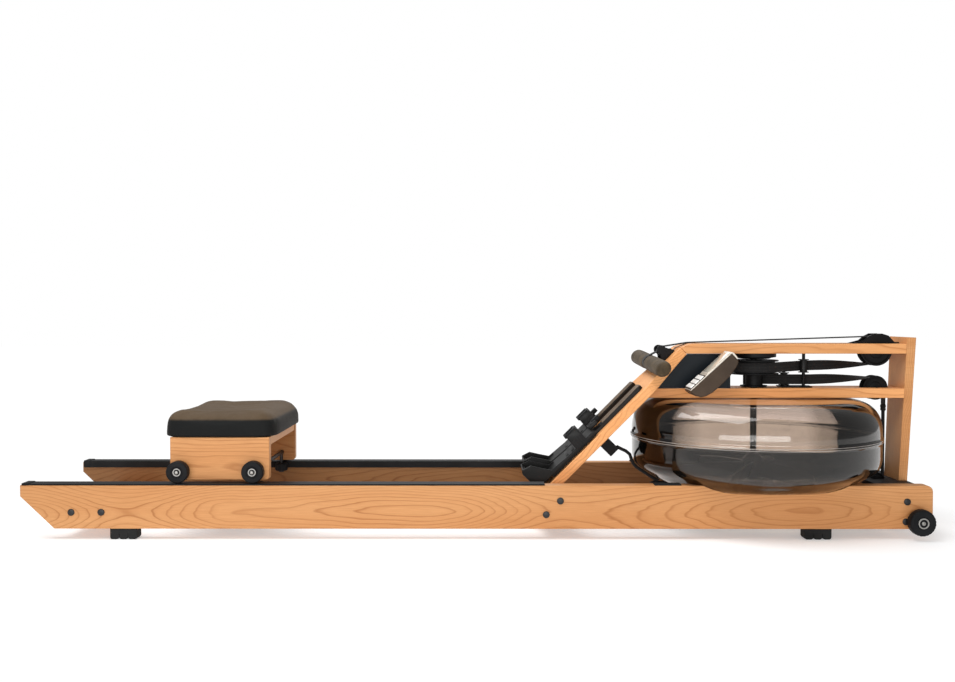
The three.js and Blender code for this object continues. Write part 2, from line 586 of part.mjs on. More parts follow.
// ---------------------------------------------------------------- monitor
const caseProfile = [[-5, -1], [124, -1], [124, -23], [121, -27], [109, -32], [85, -37.5], [52, -39],
  [28, -37.8],
  [12, -34], [1.5, -27.5], [-5.5, -16.5], [-8, -4]];
const faceProfile = [[-5, -0.7], [124.3, -0.7], [124.3, -19.5], [127.6, -18], [129, -4], [127, 1.6],
  [-5, 1.6]];
add(readout, 'monitor_case', alongY(caseProfile, monitor.near, monitor.far, 1.5), taupe);
add(readout, 'monitor_face', alongY(faceProfile, monitor.near + 0.5, monitor.far - 0.5, 0.5), silver);
for (const [place, u] of [['lower', -1], ['middle', 13.5], ['upper', 28]]) {
  add(readout, `monitor_button_${place}`, box(u, u + 12, -147, -93, 2.9, 5.6, 0.6), pale);
}
const pivot = V(122, 0, -14).applyAxisAngle(Y, -monitor.angle).add(monitor.foot);
add(frame, 'monitor_bracket', join(
  alongY([[pivot.x - 16, 390], [pivot.x + 14, 390], [pivot.x + 14, 421], [pivot.x - 16, 421]], -52, -47.3),
  rodY(pivot.x, pivot.z, 6.5, -79.7, -50, 20),
), plastic);

export default rower;
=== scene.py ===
"""Looks of a wooden water rowing machine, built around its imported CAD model.

Metres, +Z up, +X along the rails towards the water tank, -Y the rower's right-hand side.
Dimensions in the code are in millimetres, with X measured from the rear end of the rails.
"""

import json
import math

import bmesh
import bpy
from mathutils import Matrix, Vector

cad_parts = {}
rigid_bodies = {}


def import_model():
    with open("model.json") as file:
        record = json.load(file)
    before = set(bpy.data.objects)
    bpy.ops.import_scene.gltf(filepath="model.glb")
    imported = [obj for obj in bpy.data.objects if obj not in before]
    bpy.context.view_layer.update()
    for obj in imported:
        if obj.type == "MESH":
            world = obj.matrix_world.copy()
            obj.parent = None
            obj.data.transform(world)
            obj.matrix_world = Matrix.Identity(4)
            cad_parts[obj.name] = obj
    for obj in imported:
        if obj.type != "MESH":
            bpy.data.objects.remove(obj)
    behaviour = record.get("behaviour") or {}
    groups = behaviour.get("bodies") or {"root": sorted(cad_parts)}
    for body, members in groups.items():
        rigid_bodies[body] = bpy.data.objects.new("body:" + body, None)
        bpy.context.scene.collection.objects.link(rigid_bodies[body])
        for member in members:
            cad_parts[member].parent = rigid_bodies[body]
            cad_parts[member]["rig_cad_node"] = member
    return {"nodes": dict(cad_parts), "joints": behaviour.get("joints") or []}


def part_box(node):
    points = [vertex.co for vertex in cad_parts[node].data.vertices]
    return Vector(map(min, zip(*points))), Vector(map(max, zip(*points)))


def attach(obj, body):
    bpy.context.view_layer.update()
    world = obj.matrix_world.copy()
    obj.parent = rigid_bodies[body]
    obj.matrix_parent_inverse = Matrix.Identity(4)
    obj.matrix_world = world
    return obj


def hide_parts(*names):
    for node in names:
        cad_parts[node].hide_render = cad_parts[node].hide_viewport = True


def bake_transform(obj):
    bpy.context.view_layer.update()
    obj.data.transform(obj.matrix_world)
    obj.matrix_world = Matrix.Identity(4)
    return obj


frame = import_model()
for default in [o for o in bpy.data.objects if o.type != "EMPTY" and "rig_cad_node" not in o]:
    bpy.data.objects.remove(default)
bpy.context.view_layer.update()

MM = 0.001
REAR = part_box("rail_right")[0].x
X_AXIS, Y_AXIS, Z_AXIS = Vector((1, 0, 0)), Vector((0, 1, 0)), Vector((0, 0, 1))
SIDES = (("right", -1), ("left", 1))
JOINTS = {j["name"]: j for j in frame["joints"]}


def at(x, y, z):
    """A point given in millimetres from the rails' rear end."""
    return Vector((REAR + x * MM, y * MM, z * MM))


# ---- the slope of the footboard
UP_SLOPE = Vector(JOINTS["heel_right_adjust"]["axis"]).normalized()
INCLINE = math.atan2(UP_SLOPE.z, UP_SLOPE.x)
OFF_BOARD = Vector((-UP_SLOPE.z, 0, UP_SLOPE.x))
BOARD_LOW, BOARD_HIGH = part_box("footboard")
# the board reaches this far below and above FOOT, and its face lies this far behind it
BELOW, ABOVE, BEHIND = 78 * MM, 453 * MM, 1.2 * MM
FOOT = Vector((BOARD_LOW.x + BELOW * UP_SLOPE.x - BEHIND * UP_SLOPE.z, 0,
               BOARD_HIGH.z - ABOVE * UP_SLOPE.z + BEHIND * UP_SLOPE.x))


def on_board(s, y, h):
    """A point s up the footboard, y across it and h out of its front face, in millimetres."""
    return FOOT + (UP_SLOPE * s + OFF_BOARD * h + Y_AXIS * y) * MM


# ---- camera
LENS, SENSOR = 37.7, 36
CAMERA_PLACE = (-0.0012, -2.4897, 0.5143)
CAMERA_DOWN, CAMERA_TURN = 0.02496, 0.00263
camera_data = bpy.data.cameras.new("camera")
camera_data.lens = LENS
camera_data.sensor_width = SENSOR
camera_data.clip_end = 60
camera = bpy.data.objects.new("camera", camera_data)
camera.location = CAMERA_PLACE
camera.rotation_euler = (math.pi / 2 - CAMERA_DOWN, 0, CAMERA_TURN)
bpy.context.scene.collection.objects.link(camera)
bpy.context.scene.camera = camera


# ---- material helpers
class Look:
    """A node material with a Principled shader."""

    def __init__(self, name, **sockets):
        self.material = bpy.data.materials.new(name)
        self.material.use_nodes = True
        self.tree = self.material.node_tree
        self.shader = self.tree.nodes["Principled BSDF"]
        for key, value in sockets.items():
            self.shader.inputs[key.replace("_", " ")].default_value = value

    def node(self, kind, inputs=(), **settings):
        """A node of that kind. inputs maps a socket's name or number to a value or to another socket."""
        made = self.tree.nodes.new("ShaderNode" + kind)
        for key, value in settings.items():
            setattr(made, key, value)
        for key, value in dict(inputs).items():
            if isinstance(value, bpy.types.NodeSocket):
                self.tree.links.new(value, made.inputs[key])
            else:
                made.inputs[key].default_value = value
        return made

    def math(self, operation, a, b=0.0, c=0.0):
        return self.node("Math", {0: a, 1: b, 2: c}, operation=operation).outputs[0]

    def times(self, a, b):
        return self.math("MULTIPLY", a, b)

    def line(self, value, slope, offset):
        """value times slope, plus offset."""
        return self.math("MULTIPLY_ADD", value, slope, offset)

    def axes(self, vector):
        """The three parts of a vector."""
        return self.node("SeparateXYZ", {0: vector}).outputs

    def coords(self, scale=(1, 1, 1), rotation=(0, 0, 0), location=(0, 0, 0)):
        """The object's own coordinates in metres, mapped by scale, rotation and location."""
        source = self.node("TexCoord").outputs["Object"]
        return self.node("Mapping", {0: source, 1: location, 2: rotation, 3: scale}).outputs[0]

    def noise(self, vector, scale, detail=3.0, roughness=0.5, distortion=0.0):
        inputs = {"Vector": vector, "Scale": scale, "Detail": detail, "Roughness": roughness,
                  "Distortion": distortion}
        return self.node("TexNoise", inputs).outputs["Fac"]

    def ramp(self, factor, stops, interpolation="LINEAR"):
        """stops are (position, grey or colour)."""
        made = self.node("ValToRGB", {0: factor})
        band = made.color_ramp
        band.interpolation = interpolation
        while len(band.elements) < len(stops):
            band.elements.new(0.5)
        for element, (position, colour) in zip(band.elements, stops):
            element.position = position
            element.color = (*colour, 1) if hasattr(colour, "__len__") else (colour, colour, colour, 1)
        return made.outputs["Color"]

    def mix(self, factor, a, b, blend="MIX"):
        first, second = [c if isinstance(c, bpy.types.NodeSocket) else (*c, 1) for c in (a, b)]
        made = self.node("Mix", {0: factor, 6: first, 7: second}, data_type="RGBA", blend_type=blend)
        return made.outputs[2]

    def set(self, socket, value):
        self.tree.links.new(value, self.shader.inputs[socket])

    def see_through(self, tint, opacity):
        """Lays the Principled shader, as a reflecting skin, over a clear body that tints what lies behind."""
        clear = self.node("BsdfTransparent", {"Color": tint})
        both = self.node("MixShader", {0: opacity, 1: clear.outputs[0], 2: self.shader.outputs[0]})
        self.tree.links.new(both.outputs[0], self.tree.nodes["Material Output"].inputs["Surface"])

    def bump(self, height, distance, strength=1.0, edge=0.0):
        """Bump in metres. edge rounds the shading of sharp edges by that radius."""
        made = self.node("Bump", {"Height": height, "Distance": distance, "Strength": strength})
        if edge:
            soft = self.node("Bevel", {"Radius": edge}, samples=4)
            self.tree.links.new(soft.outputs[0], made.inputs["Normal"])
        self.set("Normal", made.outputs[0])


def scaled(colour, factor, lift=0.0):
    """The colour made lighter or darker."""
    return tuple(min(1.0, c * factor + lift) for c in colour)


def wood(name, rotation=(0, 0, 0), heart=(0.16, 0.058), seed=0.0, tone=1.0, eyes=None, inner=None):
    """Flat-sawn ash. The rings run round a heart line, given by its distance from the plank's axes across
    the grain, and they open and close along the grain. eyes are (position from the rear, depth) of the
    heart line. inner is (side, factor) for painted shade on the faces turned towards that side, darkened by
    factor."""
    look = Look(name, Coat_Weight=0.04, Coat_Roughness=0.3, Specular_IOR_Level=0.15)

    def along_grain(scale, detail, location=(0, 0, 0), roughness=0.5):
        return look.noise(look.coords(scale, rotation, location), 1.0, detail, roughness)

    ring_spacing = 0.0039
    machine_length = 2.1
    split = look.axes(look.coords(rotation=rotation))
    sway = along_grain((1.6, 7, 7), 2.0, (seed, seed * 0.7, 0))
    ripple = along_grain((5, 30, 30), 2.0, (seed, 0, seed))
    across = look.math("ABSOLUTE", split[1])
    if eyes:
        depth = look.ramp(look.line(split[0], 1 / machine_length, 0.505), eyes, "EASE")
    else:
        depth = along_grain((2.2, 0.01, 0.01), 1.0, (seed * 3, 0, 0))
    inward = look.math("SUBTRACT", across, look.line(depth, -0.036, heart[0] + 0.012))
    rise = look.math("SUBTRACT", split[2], look.line(sway, 0.07, heart[1] - 0.035))
    flat = look.node("CombineXYZ", {0: inward, 1: look.times(rise, 0.72)}).outputs[0]
    radius = look.node("VectorMath", {0: flat}, operation="LENGTH").outputs["Value"]
    radius = look.line(ripple, 0.007, radius)
    ring = look.math("FRACT", look.math("DIVIDE", radius, ring_spacing))
    latewood = look.ramp(ring, [(0.0, 0.1), (0.5, 0.04), (0.76, 0.25), (0.9, 1.0), (0.96, 0.6), (1.0, 0.1)])
    years = look.node("CombineXYZ", {0: look.times(radius, 90.0), 1: look.times(split[0], 1.5)}).outputs[0]
    season = look.noise(years, 1.0, detail=2.0)
    latewood = look.times(latewood, look.ramp(season, [(0.3, 0.3), (0.5, 0.7), (0.66, 1.0)]))
    fibre = along_grain((18, 900, 900), 4.0, roughness=0.7)
    pores = along_grain((45, 1500, 1500), 2.0, (seed, 0, 0))
    pores = look.ramp(pores, [(0.0, 1.0), (0.30, 1.0), (0.40, 0.0), (1.0, 0.0)])
    broad = along_grain((1.2, 9, 9), 3.0, (0, seed, 0))
    # tone scales all the plank's colours, which some planks below use to paint light and shade
    pale = scaled((0.72, 0.37, 0.155), tone)
    honey = scaled((0.62, 0.275, 0.098), tone)
    dark = scaled((0.34, 0.112, 0.028), tone)
    body = look.mix(look.ramp(broad, [(0.3, 0.0), (0.7, 1.0)]), pale, honey)
    body = look.mix(look.times(latewood, look.line(fibre, 0.8, 0.3)), body, dark)
    body = look.mix(look.times(look.ramp(fibre, [(0.35, 1.0), (0.6, 0.0)]), 0.3), body, dark)
    body = look.mix(look.times(look.times(pores, latewood), 0.45), body, dark)
    # painted shade: the faces turned towards side are darkened by factor
    if inner:
        side, factor = inner
        normal = look.axes(look.node("TexCoord").outputs["Normal"])
        facing = look.ramp(look.times(normal[1], side), [(0.4, 0.0), (0.6, 1.0)])
        body = look.mix(facing, body, look.mix(1.0, body, scaled((1.0, 0.97, 0.92), factor), "MULTIPLY"))
    look.set("Base Color", body)
    look.set("Roughness", look.line(latewood, -0.08, 0.46))
    look.bump(look.math("SUBTRACT", look.times(fibre, 0.5), look.times(pores, 0.5)), 0.0002, 0.5, edge=0.0012)
    return look.material


def moulded(name, colour, roughness=0.5, grain=0.00005, scale=900.0, mottle=0.25, edge=0.001, **sockets):
    """Moulded plastic or rubber with a fine texture, slightly uneven in colour and gloss."""
    look = Look(name, **sockets)
    place = look.coords()
    fine = look.noise(place, scale, detail=2.0, roughness=0.6)
    broad = look.noise(place, 14.0, detail=4.0)
    worn = look.noise(place, 120.0, detail=3.0)
    shade = scaled(colour, 1 - mottle)
    light = scaled(colour, 1 + mottle, 0.004)
    tone = look.mix(look.ramp(broad, [(0.35, 0.0), (0.65, 1.0)]), shade, light)
    look.set("Base Color", look.mix(look.times(worn, 0.25), tone, light))
    look.set("Roughness", look.line(broad, 0.16, roughness - 0.08))
    look.bump(fine, grain, 1.0, edge=edge)
    return look.material


def metal(name, colour, roughness=0.3):
    """Turned or brushed metal."""
    look = Look(name, Metallic=1.0)
    place = look.coords()
    scratch = look.noise(look.coords(scale=(900, 90, 900)), 1.0, detail=3.0)
    cloud = look.noise(place, 60.0, detail=3.0)
    look.set("Base Color", look.mix(cloud, scaled(colour, 0.82), colour))
    look.set("Roughness", look.line(scratch, 0.2, roughness - 0.1))
    look.bump(scratch, 0.00002, 0.6)
    return look.material


def webbing(name, colour):
    """Woven strap. Its UV map runs in metres along and across the strap."""
    look = Look(name, Sheen_Weight=0.08, Sheen_Roughness=0.5, Specular_IOR_Level=0.2)
    uv = look.node("UVMap", uv_map="weave").outputs[0]
    split = look.axes(uv)
    rib = look.math("SINE", look.times(split[0], 2 * math.pi / 0.0016))
    yarn = look.math("SINE", look.line(split[1], 2 * math.pi / 0.0021, look.times(rib, 0.9)))
    weave = look.line(look.times(rib, yarn), 0.5, 0.5)
    fuzz = look.noise(look.coords(), 1600.0, detail=2.0)
    tone = look.mix(weave, scaled(colour, 0.45), scaled(colour, 1.5))
    look.set("Base Color", look.mix(look.times(fuzz, 0.3), tone, scaled(colour, 2.2)))
    look.set("Roughness", look.line(weave, -0.15, 0.8))
    look.bump(weave, 0.0003, 0.8)
    return look.material


def braid(name, colour):
    """Elastic cord with a braided cover."""
    look = Look(name, Sheen_Weight=0.08, Sheen_Roughness=0.5, Specular_IOR_Level=0.2)
    uv = look.node("UVMap", uv_map="weave").outputs[0]
    split = look.axes(uv)
    a = look.times(split[0], 2 * math.pi / 0.004)
    b = look.times(split[1], 2 * math.pi / 0.0045)
    plait = look.times(*(look.math("SINE", look.math(way, a, b)) for way in ("ADD", "SUBTRACT")))
    weave = look.line(plait, 0.5, 0.5)
    look.set("Base Color", look.mix(weave, scaled(colour, 0.5), scaled(colour, 1.6)))
    look.set("Roughness", look.line(weave, -0.1, 0.75))
    look.bump(weave, 0.0004, 0.8)
    return look.material


def cushion_look(name):
    """Skinned foam: brown crown, near-black sides, soft sheen, pebbled skin with faint creases."""
    look = Look(name, Sheen_Weight=0.04, Sheen_Roughness=0.4, Sheen_Tint=(1.0, 0.86, 0.72, 1.0),
                Specular_IOR_Level=0.1)
    place = look.coords()
    cells = look.node("TexVoronoi", {"Vector": place, "Scale": 620.0, "Randomness": 0.9},
                      feature="DISTANCE_TO_EDGE").outputs["Distance"]
    crease = look.noise(place, 55.0, detail=5.0, roughness=0.65, distortion=0.6)
    broad = look.noise(place, 9.0, detail=3.0)
    depth, underside = 0.05, 0.23
    height = look.line(look.axes(place)[2], 1 / depth, -underside / depth)
    top = look.ramp(look.line(crease, 0.04, height), [(0.82, 0.0), (0.93, 1.0)])
    side = look.mix(broad, (0.006, 0.0063, 0.0063), (0.011, 0.0115, 0.0115))
    crown = look.mix(broad, (0.055, 0.035, 0.019), (0.088, 0.057, 0.031))
    tone = look.mix(top, side, crown)
    look.set("Base Color", look.mix(look.times(look.times(crease, top), 0.2), tone, (0.2, 0.16, 0.12)))
    look.set("Roughness", look.line(broad, 0.15, 0.55))
    relief = look.math("ADD", look.times(cells, 1.5), look.times(crease, 0.9))
    look.bump(relief, 0.0004, 0.6)
    return look.material


def foam_grip(name):
    """Dense foam sleeve with a worn skin."""
    look = Look(name, Sheen_Weight=0.05, Sheen_Roughness=0.5, Sheen_Tint=(1.0, 0.9, 0.78, 1.0),
                Specular_IOR_Level=0.12)
    place = look.coords()
    cells = look.node("TexVoronoi", {"Vector": place, "Scale": 900.0}).outputs["Distance"]
    rub = look.noise(place, 34.0, detail=5.0, roughness=0.6)
    broad = look.noise(place, 11.0, detail=2.0)
    tone = look.mix(look.ramp(rub, [(0.35, 0.0), (0.7, 1.0)]), (0.034, 0.023, 0.012), (0.120, 0.084, 0.045))
    look.set("Base Color", look.mix(look.times(broad, 0.35), tone, (0.022, 0.019, 0.016)))
    look.set("Roughness", look.line(rub, 0.2, 0.55))
    look.bump(look.line(rub, 1.2, cells), 0.0004, 0.6)
    return look.material


def smoked_shell(name):
    """Smoky clear plastic. It is browner and denser where the wall is seen edge-on, dark in the shade of the
    footboard, darker on the near wall's right part by painted shade, and has a cluster of drops on the upper
    wall."""
    look = Look(name, Metallic=1.0)
    place = look.coords()
    wave = look.noise(place, 6.0, detail=2.0)
    drops = look.node("TexVoronoi", {"Vector": place, "Scale": 150.0, "Randomness": 1.0}).outputs["Distance"]
    split = look.axes(place)
    diameter, rear_edge = 0.6, 0.38
    along = look.line(split[0], 1 / diameter, -rear_edge / diameter)
    middle = look.ramp(along, [(0.1, 0.0), (0.4, 1.0), (0.65, 1.0), (0.85, 0.0)])
    high = look.ramp(split[2], [(0.215, 0.0), (0.24, 1.0), (0.285, 1.0), (0.3, 0.0)])
    patch = look.ramp(look.noise(place, 11.0, detail=3.0), [(0.48, 0.0), (0.62, 1.0)])
    cluster = look.times(look.times(middle, high), patch)
    dot = look.times(look.ramp(drops, [(0.0, 1.0), (0.13, 1.0), (0.19, 0.0)]), cluster)
    facing = look.node("LayerWeight", {"Blend": 0.5}).outputs["Facing"]
    edge = look.ramp(facing, [(0.3, 0.0), (0.8, 0.45), (1.0, 1.0)])
    near = look.ramp(look.line(split[1], -1 / diameter, 0.5), [(0.5, 0.0), (0.62, 1.0)])
    left = look.ramp(along, [(0.0, 1.0), (0.1, 0.9), (0.2, 0.0)])
    # painted shade: the near wall's right part is tinted darker
    right = look.times(look.ramp(along, [(0.56, 0.0), (0.62, 1.0)]), near)
    tint = look.mix(wave, (0.74, 0.64, 0.575), (0.83, 0.75, 0.70))
    tint = look.mix(look.times(edge, 0.7), tint, (0.40, 0.34, 0.30))
    tint = look.mix(look.times(right, 0.7), tint, (0.34, 0.29, 0.25))
    tint = look.mix(look.times(left, 0.9), tint, (0.10, 0.08, 0.066))
    gloss = look.times(look.node("Fresnel", {"IOR": 1.5}).outputs[0], 1.35)
    skin = look.mix(wave, (0.80, 0.78, 0.76), (0.92, 0.90, 0.88))
    look.set("Base Color", look.mix(dot, skin, (0.03, 0.025, 0.025)))
    look.set("Roughness", look.line(wave, 0.06, 0.06))
    look.bump(wave, 0.0016, 0.4)
    look.see_through(tint, look.math("MAXIMUM", gloss, look.times(dot, 0.8)))
    return look.material


def inner_wall(name, skin, tint, swell=6.0):
    """The unseen back of a clear wall, or the side of the water, which only tints what lies behind."""
    look = Look(name, Metallic=1.0)
    wave = look.noise(look.coords(), swell, detail=2.0)
    look.set("Base Color", look.mix(wave, (0.75, 0.74, 0.72), (0.9, 0.9, 0.88)))
    look.set("Roughness", look.line(wave, 0.05, 0.05))
    look.bump(wave, 0.002, 0.35)
    gloss = look.times(look.node("Fresnel", {"IOR": 1.33}).outputs[0], skin)
    look.see_through(look.mix(wave, tint, scaled(tint, 1.04)), gloss)
    return look.material


BLACK = (0.0055, 0.0055, 0.006)
plastic = moulded("black_plastic", BLACK, 0.42, Specular_IOR_Level=0.1)
satin = moulded("satin_plastic", (0.006, 0.0058, 0.0054), 0.34, grain=0.00003, Specular_IOR_Level=0.16)
# ribbed_plastic is coloured lighter than the black stretcher bases: painted highlight on the ribs
ribbed = moulded("ribbed_plastic", (0.17, 0.125, 0.09), 0.5, Specular_IOR_Level=0.1)
rubber = moulded("black_rubber", (0.010, 0.010, 0.010), 0.72, grain=0.0001, scale=600.0,
                 Specular_IOR_Level=0.15)
tyre = moulded("wheel_rubber", (0.006, 0.0062, 0.007), 0.5, grain=0.00006, scale=700.0,
               Specular_IOR_Level=0.1)
navy = moulded("dark_blue_plastic", (0.006, 0.0095, 0.0135), 0.35, grain=0.00002, mottle=0.15,
               Specular_IOR_Level=0.1)
taupe = moulded("taupe_plastic", (0.056, 0.036, 0.023), 0.4, Specular_IOR_Level=0.12)
silver = moulded("silver_plastic", (0.62, 0.56, 0.48), 0.35, grain=0.00002, mottle=0.12, Metallic=0.2)
white = moulded("white_plastic", (0.88, 0.87, 0.84), 0.35, grain=0.00002, mottle=0.05)
screen = moulded("screen_glass", (0.50, 0.47, 0.40), 0.2, grain=0.000005, mottle=0.2, Coat_Weight=0.6,
                 Coat_Roughness=0.05)
steel = metal("bar_steel", (0.60, 0.60, 0.61))
bright = metal("bright_steel", (0.36, 0.35, 0.33), 0.4)
oxide = moulded("black_oxide", (0.009, 0.009, 0.0095), 0.4, grain=0.00001, mottle=0.2, Metallic=0.3)
strap_weave = webbing("strap_webbing", (0.010, 0.0095, 0.0095))
cord_braid = braid("cord_braid", (0.012, 0.012, 0.012))
foam = cushion_look("cushion_skin")
grip_foam = foam_grip("grip_foam")
shell = smoked_shell("smoky_polycarbonate")
seam = moulded("seam_plastic", (0.42, 0.37, 0.33), 0.3, grain=0.00002, mottle=0.3)
shell_back = inner_wall("smoky_polycarbonate_back", 0.15, (0.96, 0.955, 0.95))
water = inner_wall("tank_water", 0.4, (0.93, 0.915, 0.88), swell=16.0)

# the CAD model's material that each finish stands for
SLOTS = {
    "black_plastic": (plastic, satin, ribbed, oxide), "black_rubber": (rubber, tyre, grip_foam),
    "bar_steel": (steel, bright), "webbing": (strap_weave, cord_braid), "cushion_foam": (foam,),
    "smoky_polycarbonate": (shell, water), "silver_plastic": (silver, seam), "taupe_plastic": (taupe,),
    "dark_blue_plastic": (screen,),
}
SLOT_OF = {finish: slot for slot, finishes in SLOTS.items() for finish in finishes}

QUARTER = math.pi / 2
EYES = [(0.0, 0.25), (0.115, 1.0), (0.24, 0.35), (0.45, 0.08), (0.60, 0.95), (0.87, 0.15), (1.0, 0.6)]
FAR_EYES = [(0.0, 0.3), (0.12, 0.95), (0.28, 0.15), (0.5, 0.7), (0.7, 0.1), (1.0, 0.8)]
LEAN = math.atan2(18.3, 433)
# tone lightens the footboard and both decks and darkens the two rails: painted light and shade, not a
# difference in the wood
planks = {
    "rail_right": wood("ash_rail_right", heart=(0.166, 0.058), seed=1.3, eyes=EYES, tone=0.86),
    # the far rail's inner face, which faces the near side, gets painted shade
    "rail_left": wood("ash_rail_left", heart=(0.205, 0.075), seed=4.1, eyes=FAR_EYES, tone=0.86,
                      inner=(-1, 0.42)),
    "rear_spacer": wood("ash_rear_spacer", rotation=(0, 0, -QUARTER), heart=(-0.95, 0.05), seed=2.2),
    "mid_spacer": wood("ash_mid_spacer", rotation=(0, 0, -QUARTER), heart=(0.1, 0.07), seed=5.7),
    "front_spacer": wood("ash_front_spacer", rotation=(0, 0, -QUARTER), heart=(0.96, 0.06), seed=7.7),
    "footboard": wood("ash_footboard", rotation=(0, INCLINE, 0), heart=(0.04, 0.03), seed=3.4, tone=1.3),
    "top_deck": wood("ash_top_deck", heart=(0.02, 0.418), seed=6.6, tone=1.16),
    "lower_deck": wood("ash_lower_deck", heart=(0.03, 0.30), seed=8.2, tone=1.3),
    "front_post": wood("ash_front_post", rotation=(0, QUARTER - LEAN, 0), heart=(0.05, -0.99), seed=9.5,
                       tone=0.95),
    "seat_side_right": wood("ash_seat_side_right", heart=(0.13, 0.165), seed=11.2, tone=0.93),
    # the far seat side's inner face gets painted shade
    "seat_side_left": wood("ash_seat_side_left", heart=(0.135, 0.18), seed=12.4, tone=0.9, inner=(-1, 0.6)),
    "seat_board": wood("ash_seat_board", rotation=(0, 0, -QUARTER), heart=(0.6, 0.2), seed=13.1),
}
painted = {
    plastic: ("track_right", "track_left", "base_plate", "strap_guide_bracket", "top_pulley_cover",
              "bungee_cleat", "handle_rest", "monitor_bracket"),
    satin: ("stretcher_base_right", "stretcher_base_left", "heel_slide_right", "heel_slide_left", "paddle"),
    rubber: ("foot_rear_right", "foot_front_right", "foot_rear_left", "foot_front_left"),
    navy: ("side_panel",),
    taupe: ("monitor_case",),
    silver: ("monitor_face",),
    white: ("monitor_button_lower", "monitor_button_middle", "monitor_button_upper"),
    oxide: ("seat_axle_rear", "seat_axle_front"),
    steel: ("handle_bar",),
}


def paint(node, material):
    slots = frame["nodes"][node].data.materials
    slots.clear()
    slots.append(material)


for plank, ash in planks.items():
    paint(plank, ash)
for finish, nodes in painted.items():
    for node in nodes:
        paint(node, finish)


# ---- mesh helpers
def piece(name, vertices, faces, material, body, replaced=(), sharp=35, uvs=None):
    """A mesh object that rides on a CAD body. uvs are one pair for each face corner."""
    mesh = bpy.data.meshes.new(name)
    mesh.from_pydata([tuple(v) for v in vertices], [], faces)
    if uvs:
        layer = mesh.uv_layers.new(name="weave")
        for loop, uv in zip(layer.data, uvs):
            loop.uv = uv
    built = bmesh.new()
    built.from_mesh(mesh)
    bmesh.ops.recalc_face_normals(built, faces=built.faces)
    built.to_mesh(mesh)
    built.free()
    mesh.shade_smooth()
    mesh.set_sharp_from_angle(angle=math.radians(sharp))
    mesh.materials.append(material)
    made = bpy.data.objects.new(name, mesh)
    bpy.context.scene.collection.objects.link(made)
    if body:
        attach(made, body)
    if replaced:
        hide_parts(*replaced)
    return made


def softened(points, radius, closed=False, steps=3):
    """The outline with its corners rounded."""
    points = [Vector(p) for p in points]
    n = len(points)
    result = []
    for i, p in enumerate(points):
        if not closed and i in (0, n - 1):
            result.append(p)
            continue
        a, b = points[i - 1] - p, points[(i + 1) % n] - p
        if a.length < 1e-6 or b.length < 1e-6 or abs(math.pi - a.angle(b)) < 0.3:
            result.append(p)
            continue
        reach = min(radius, a.length * 0.45, b.length * 0.45)
        start, end = p + a.normalized() * reach, p + b.normalized() * reach
        for k in range(steps + 1):
            t = k / steps
            result.append(start * (1 - t) ** 2 + p * 2 * t * (1 - t) + end * t * t)
    return [tuple(p) for p in result]


def across_of(axis):
    """Two directions square to an axis."""
    first = axis.cross(Z_AXIS if abs(axis.z) < 0.9 else X_AXIS).normalized()
    return first, axis.cross(first).normalized()


def turned(outline, count, place):
    """The vertices of an outline of (radius, height) at count angles, and each ring's numbers. A radius
    of zero is one vertex. place turns (radius, height, angle) into a point."""
    vertices, rings = [], []
    for r, h in outline:
        if r < 1e-6:
            rings.append([len(vertices)] * count)
            vertices.append(place(0, h, 0))
        else:
            rings.append(list(range(len(vertices), len(vertices) + count)))
            vertices += [place(r, h, 2 * math.pi * k / count) for k in range(count)]
    return vertices, rings


def ring_faces(rings):
    """The faces between each ring and the next."""
    faces = []
    for low, high in zip(rings, rings[1:]):
        for k in range(len(low)):
            j = (k + 1) % len(low)
            face = list(dict.fromkeys((low[k], low[j], high[j], high[k])))
            if len(face) > 2:
                faces.append(face)
    return faces


def lathe(name, profile, centre, axis, material, body, replaced=(), count=48, corner=0.6, sharp=40,
          shape=lambda t: 1.0):
    """Turns a profile of (radius, height) in millimetres round an axis. shape scales the radius by angle."""
    centre, axis = Vector(centre), Vector(axis).normalized()
    closed = profile[0] == profile[-1]
    outline = profile[:-1] if closed else profile
    if corner:
        outline = softened(outline, corner, closed)
    u, v = across_of(axis)

    def place(r, h, t):
        reach = r * shape(t)
        return centre + (u * math.cos(t) * reach + v * math.sin(t) * reach + axis * h) * MM

    vertices, rings = turned(outline, count, place)
    faces = ring_faces(rings + rings[:1] if closed else rings)
    return piece(name, vertices, faces, material, body, replaced, sharp)


def washer(inner, outer, low, high):
    """The profile of a flat ring, for lathe."""
    return [(inner, low), (outer, low), (outer, high), (inner, high), (inner, low)]


def block(name, low, high, place, material, body, bevel=1.0):
    """A box with rounded edges between two corners (a, b, c), which place turns into points."""
    outline = [(low[0], low[1]), (high[0], low[1]), (high[0], high[1]), (low[0], high[1])]
    vertices = [place(a, b, c) for c in (low[2], high[2]) for a, b in outline]
    faces = [[0, 1, 2, 3], [4, 5, 6, 7]] + [[i, (i + 1) % 4, 4 + (i + 1) % 4, 4 + i] for i in range(4)]
    made = piece(name, vertices, faces, material, body, sharp=30)
    built = bmesh.new()
    built.from_mesh(made.data)
    edges = [e for e in built.edges if e.calc_face_angle(0) > 0.5]
    bmesh.ops.bevel(built, geom=edges, offset=bevel * MM, segments=2, affect="EDGES", profile=0.6)
    built.to_mesh(made.data)
    built.free()
    made.data.shade_smooth()
    made.data.set_sharp_from_angle(angle=math.radians(50))
    return made


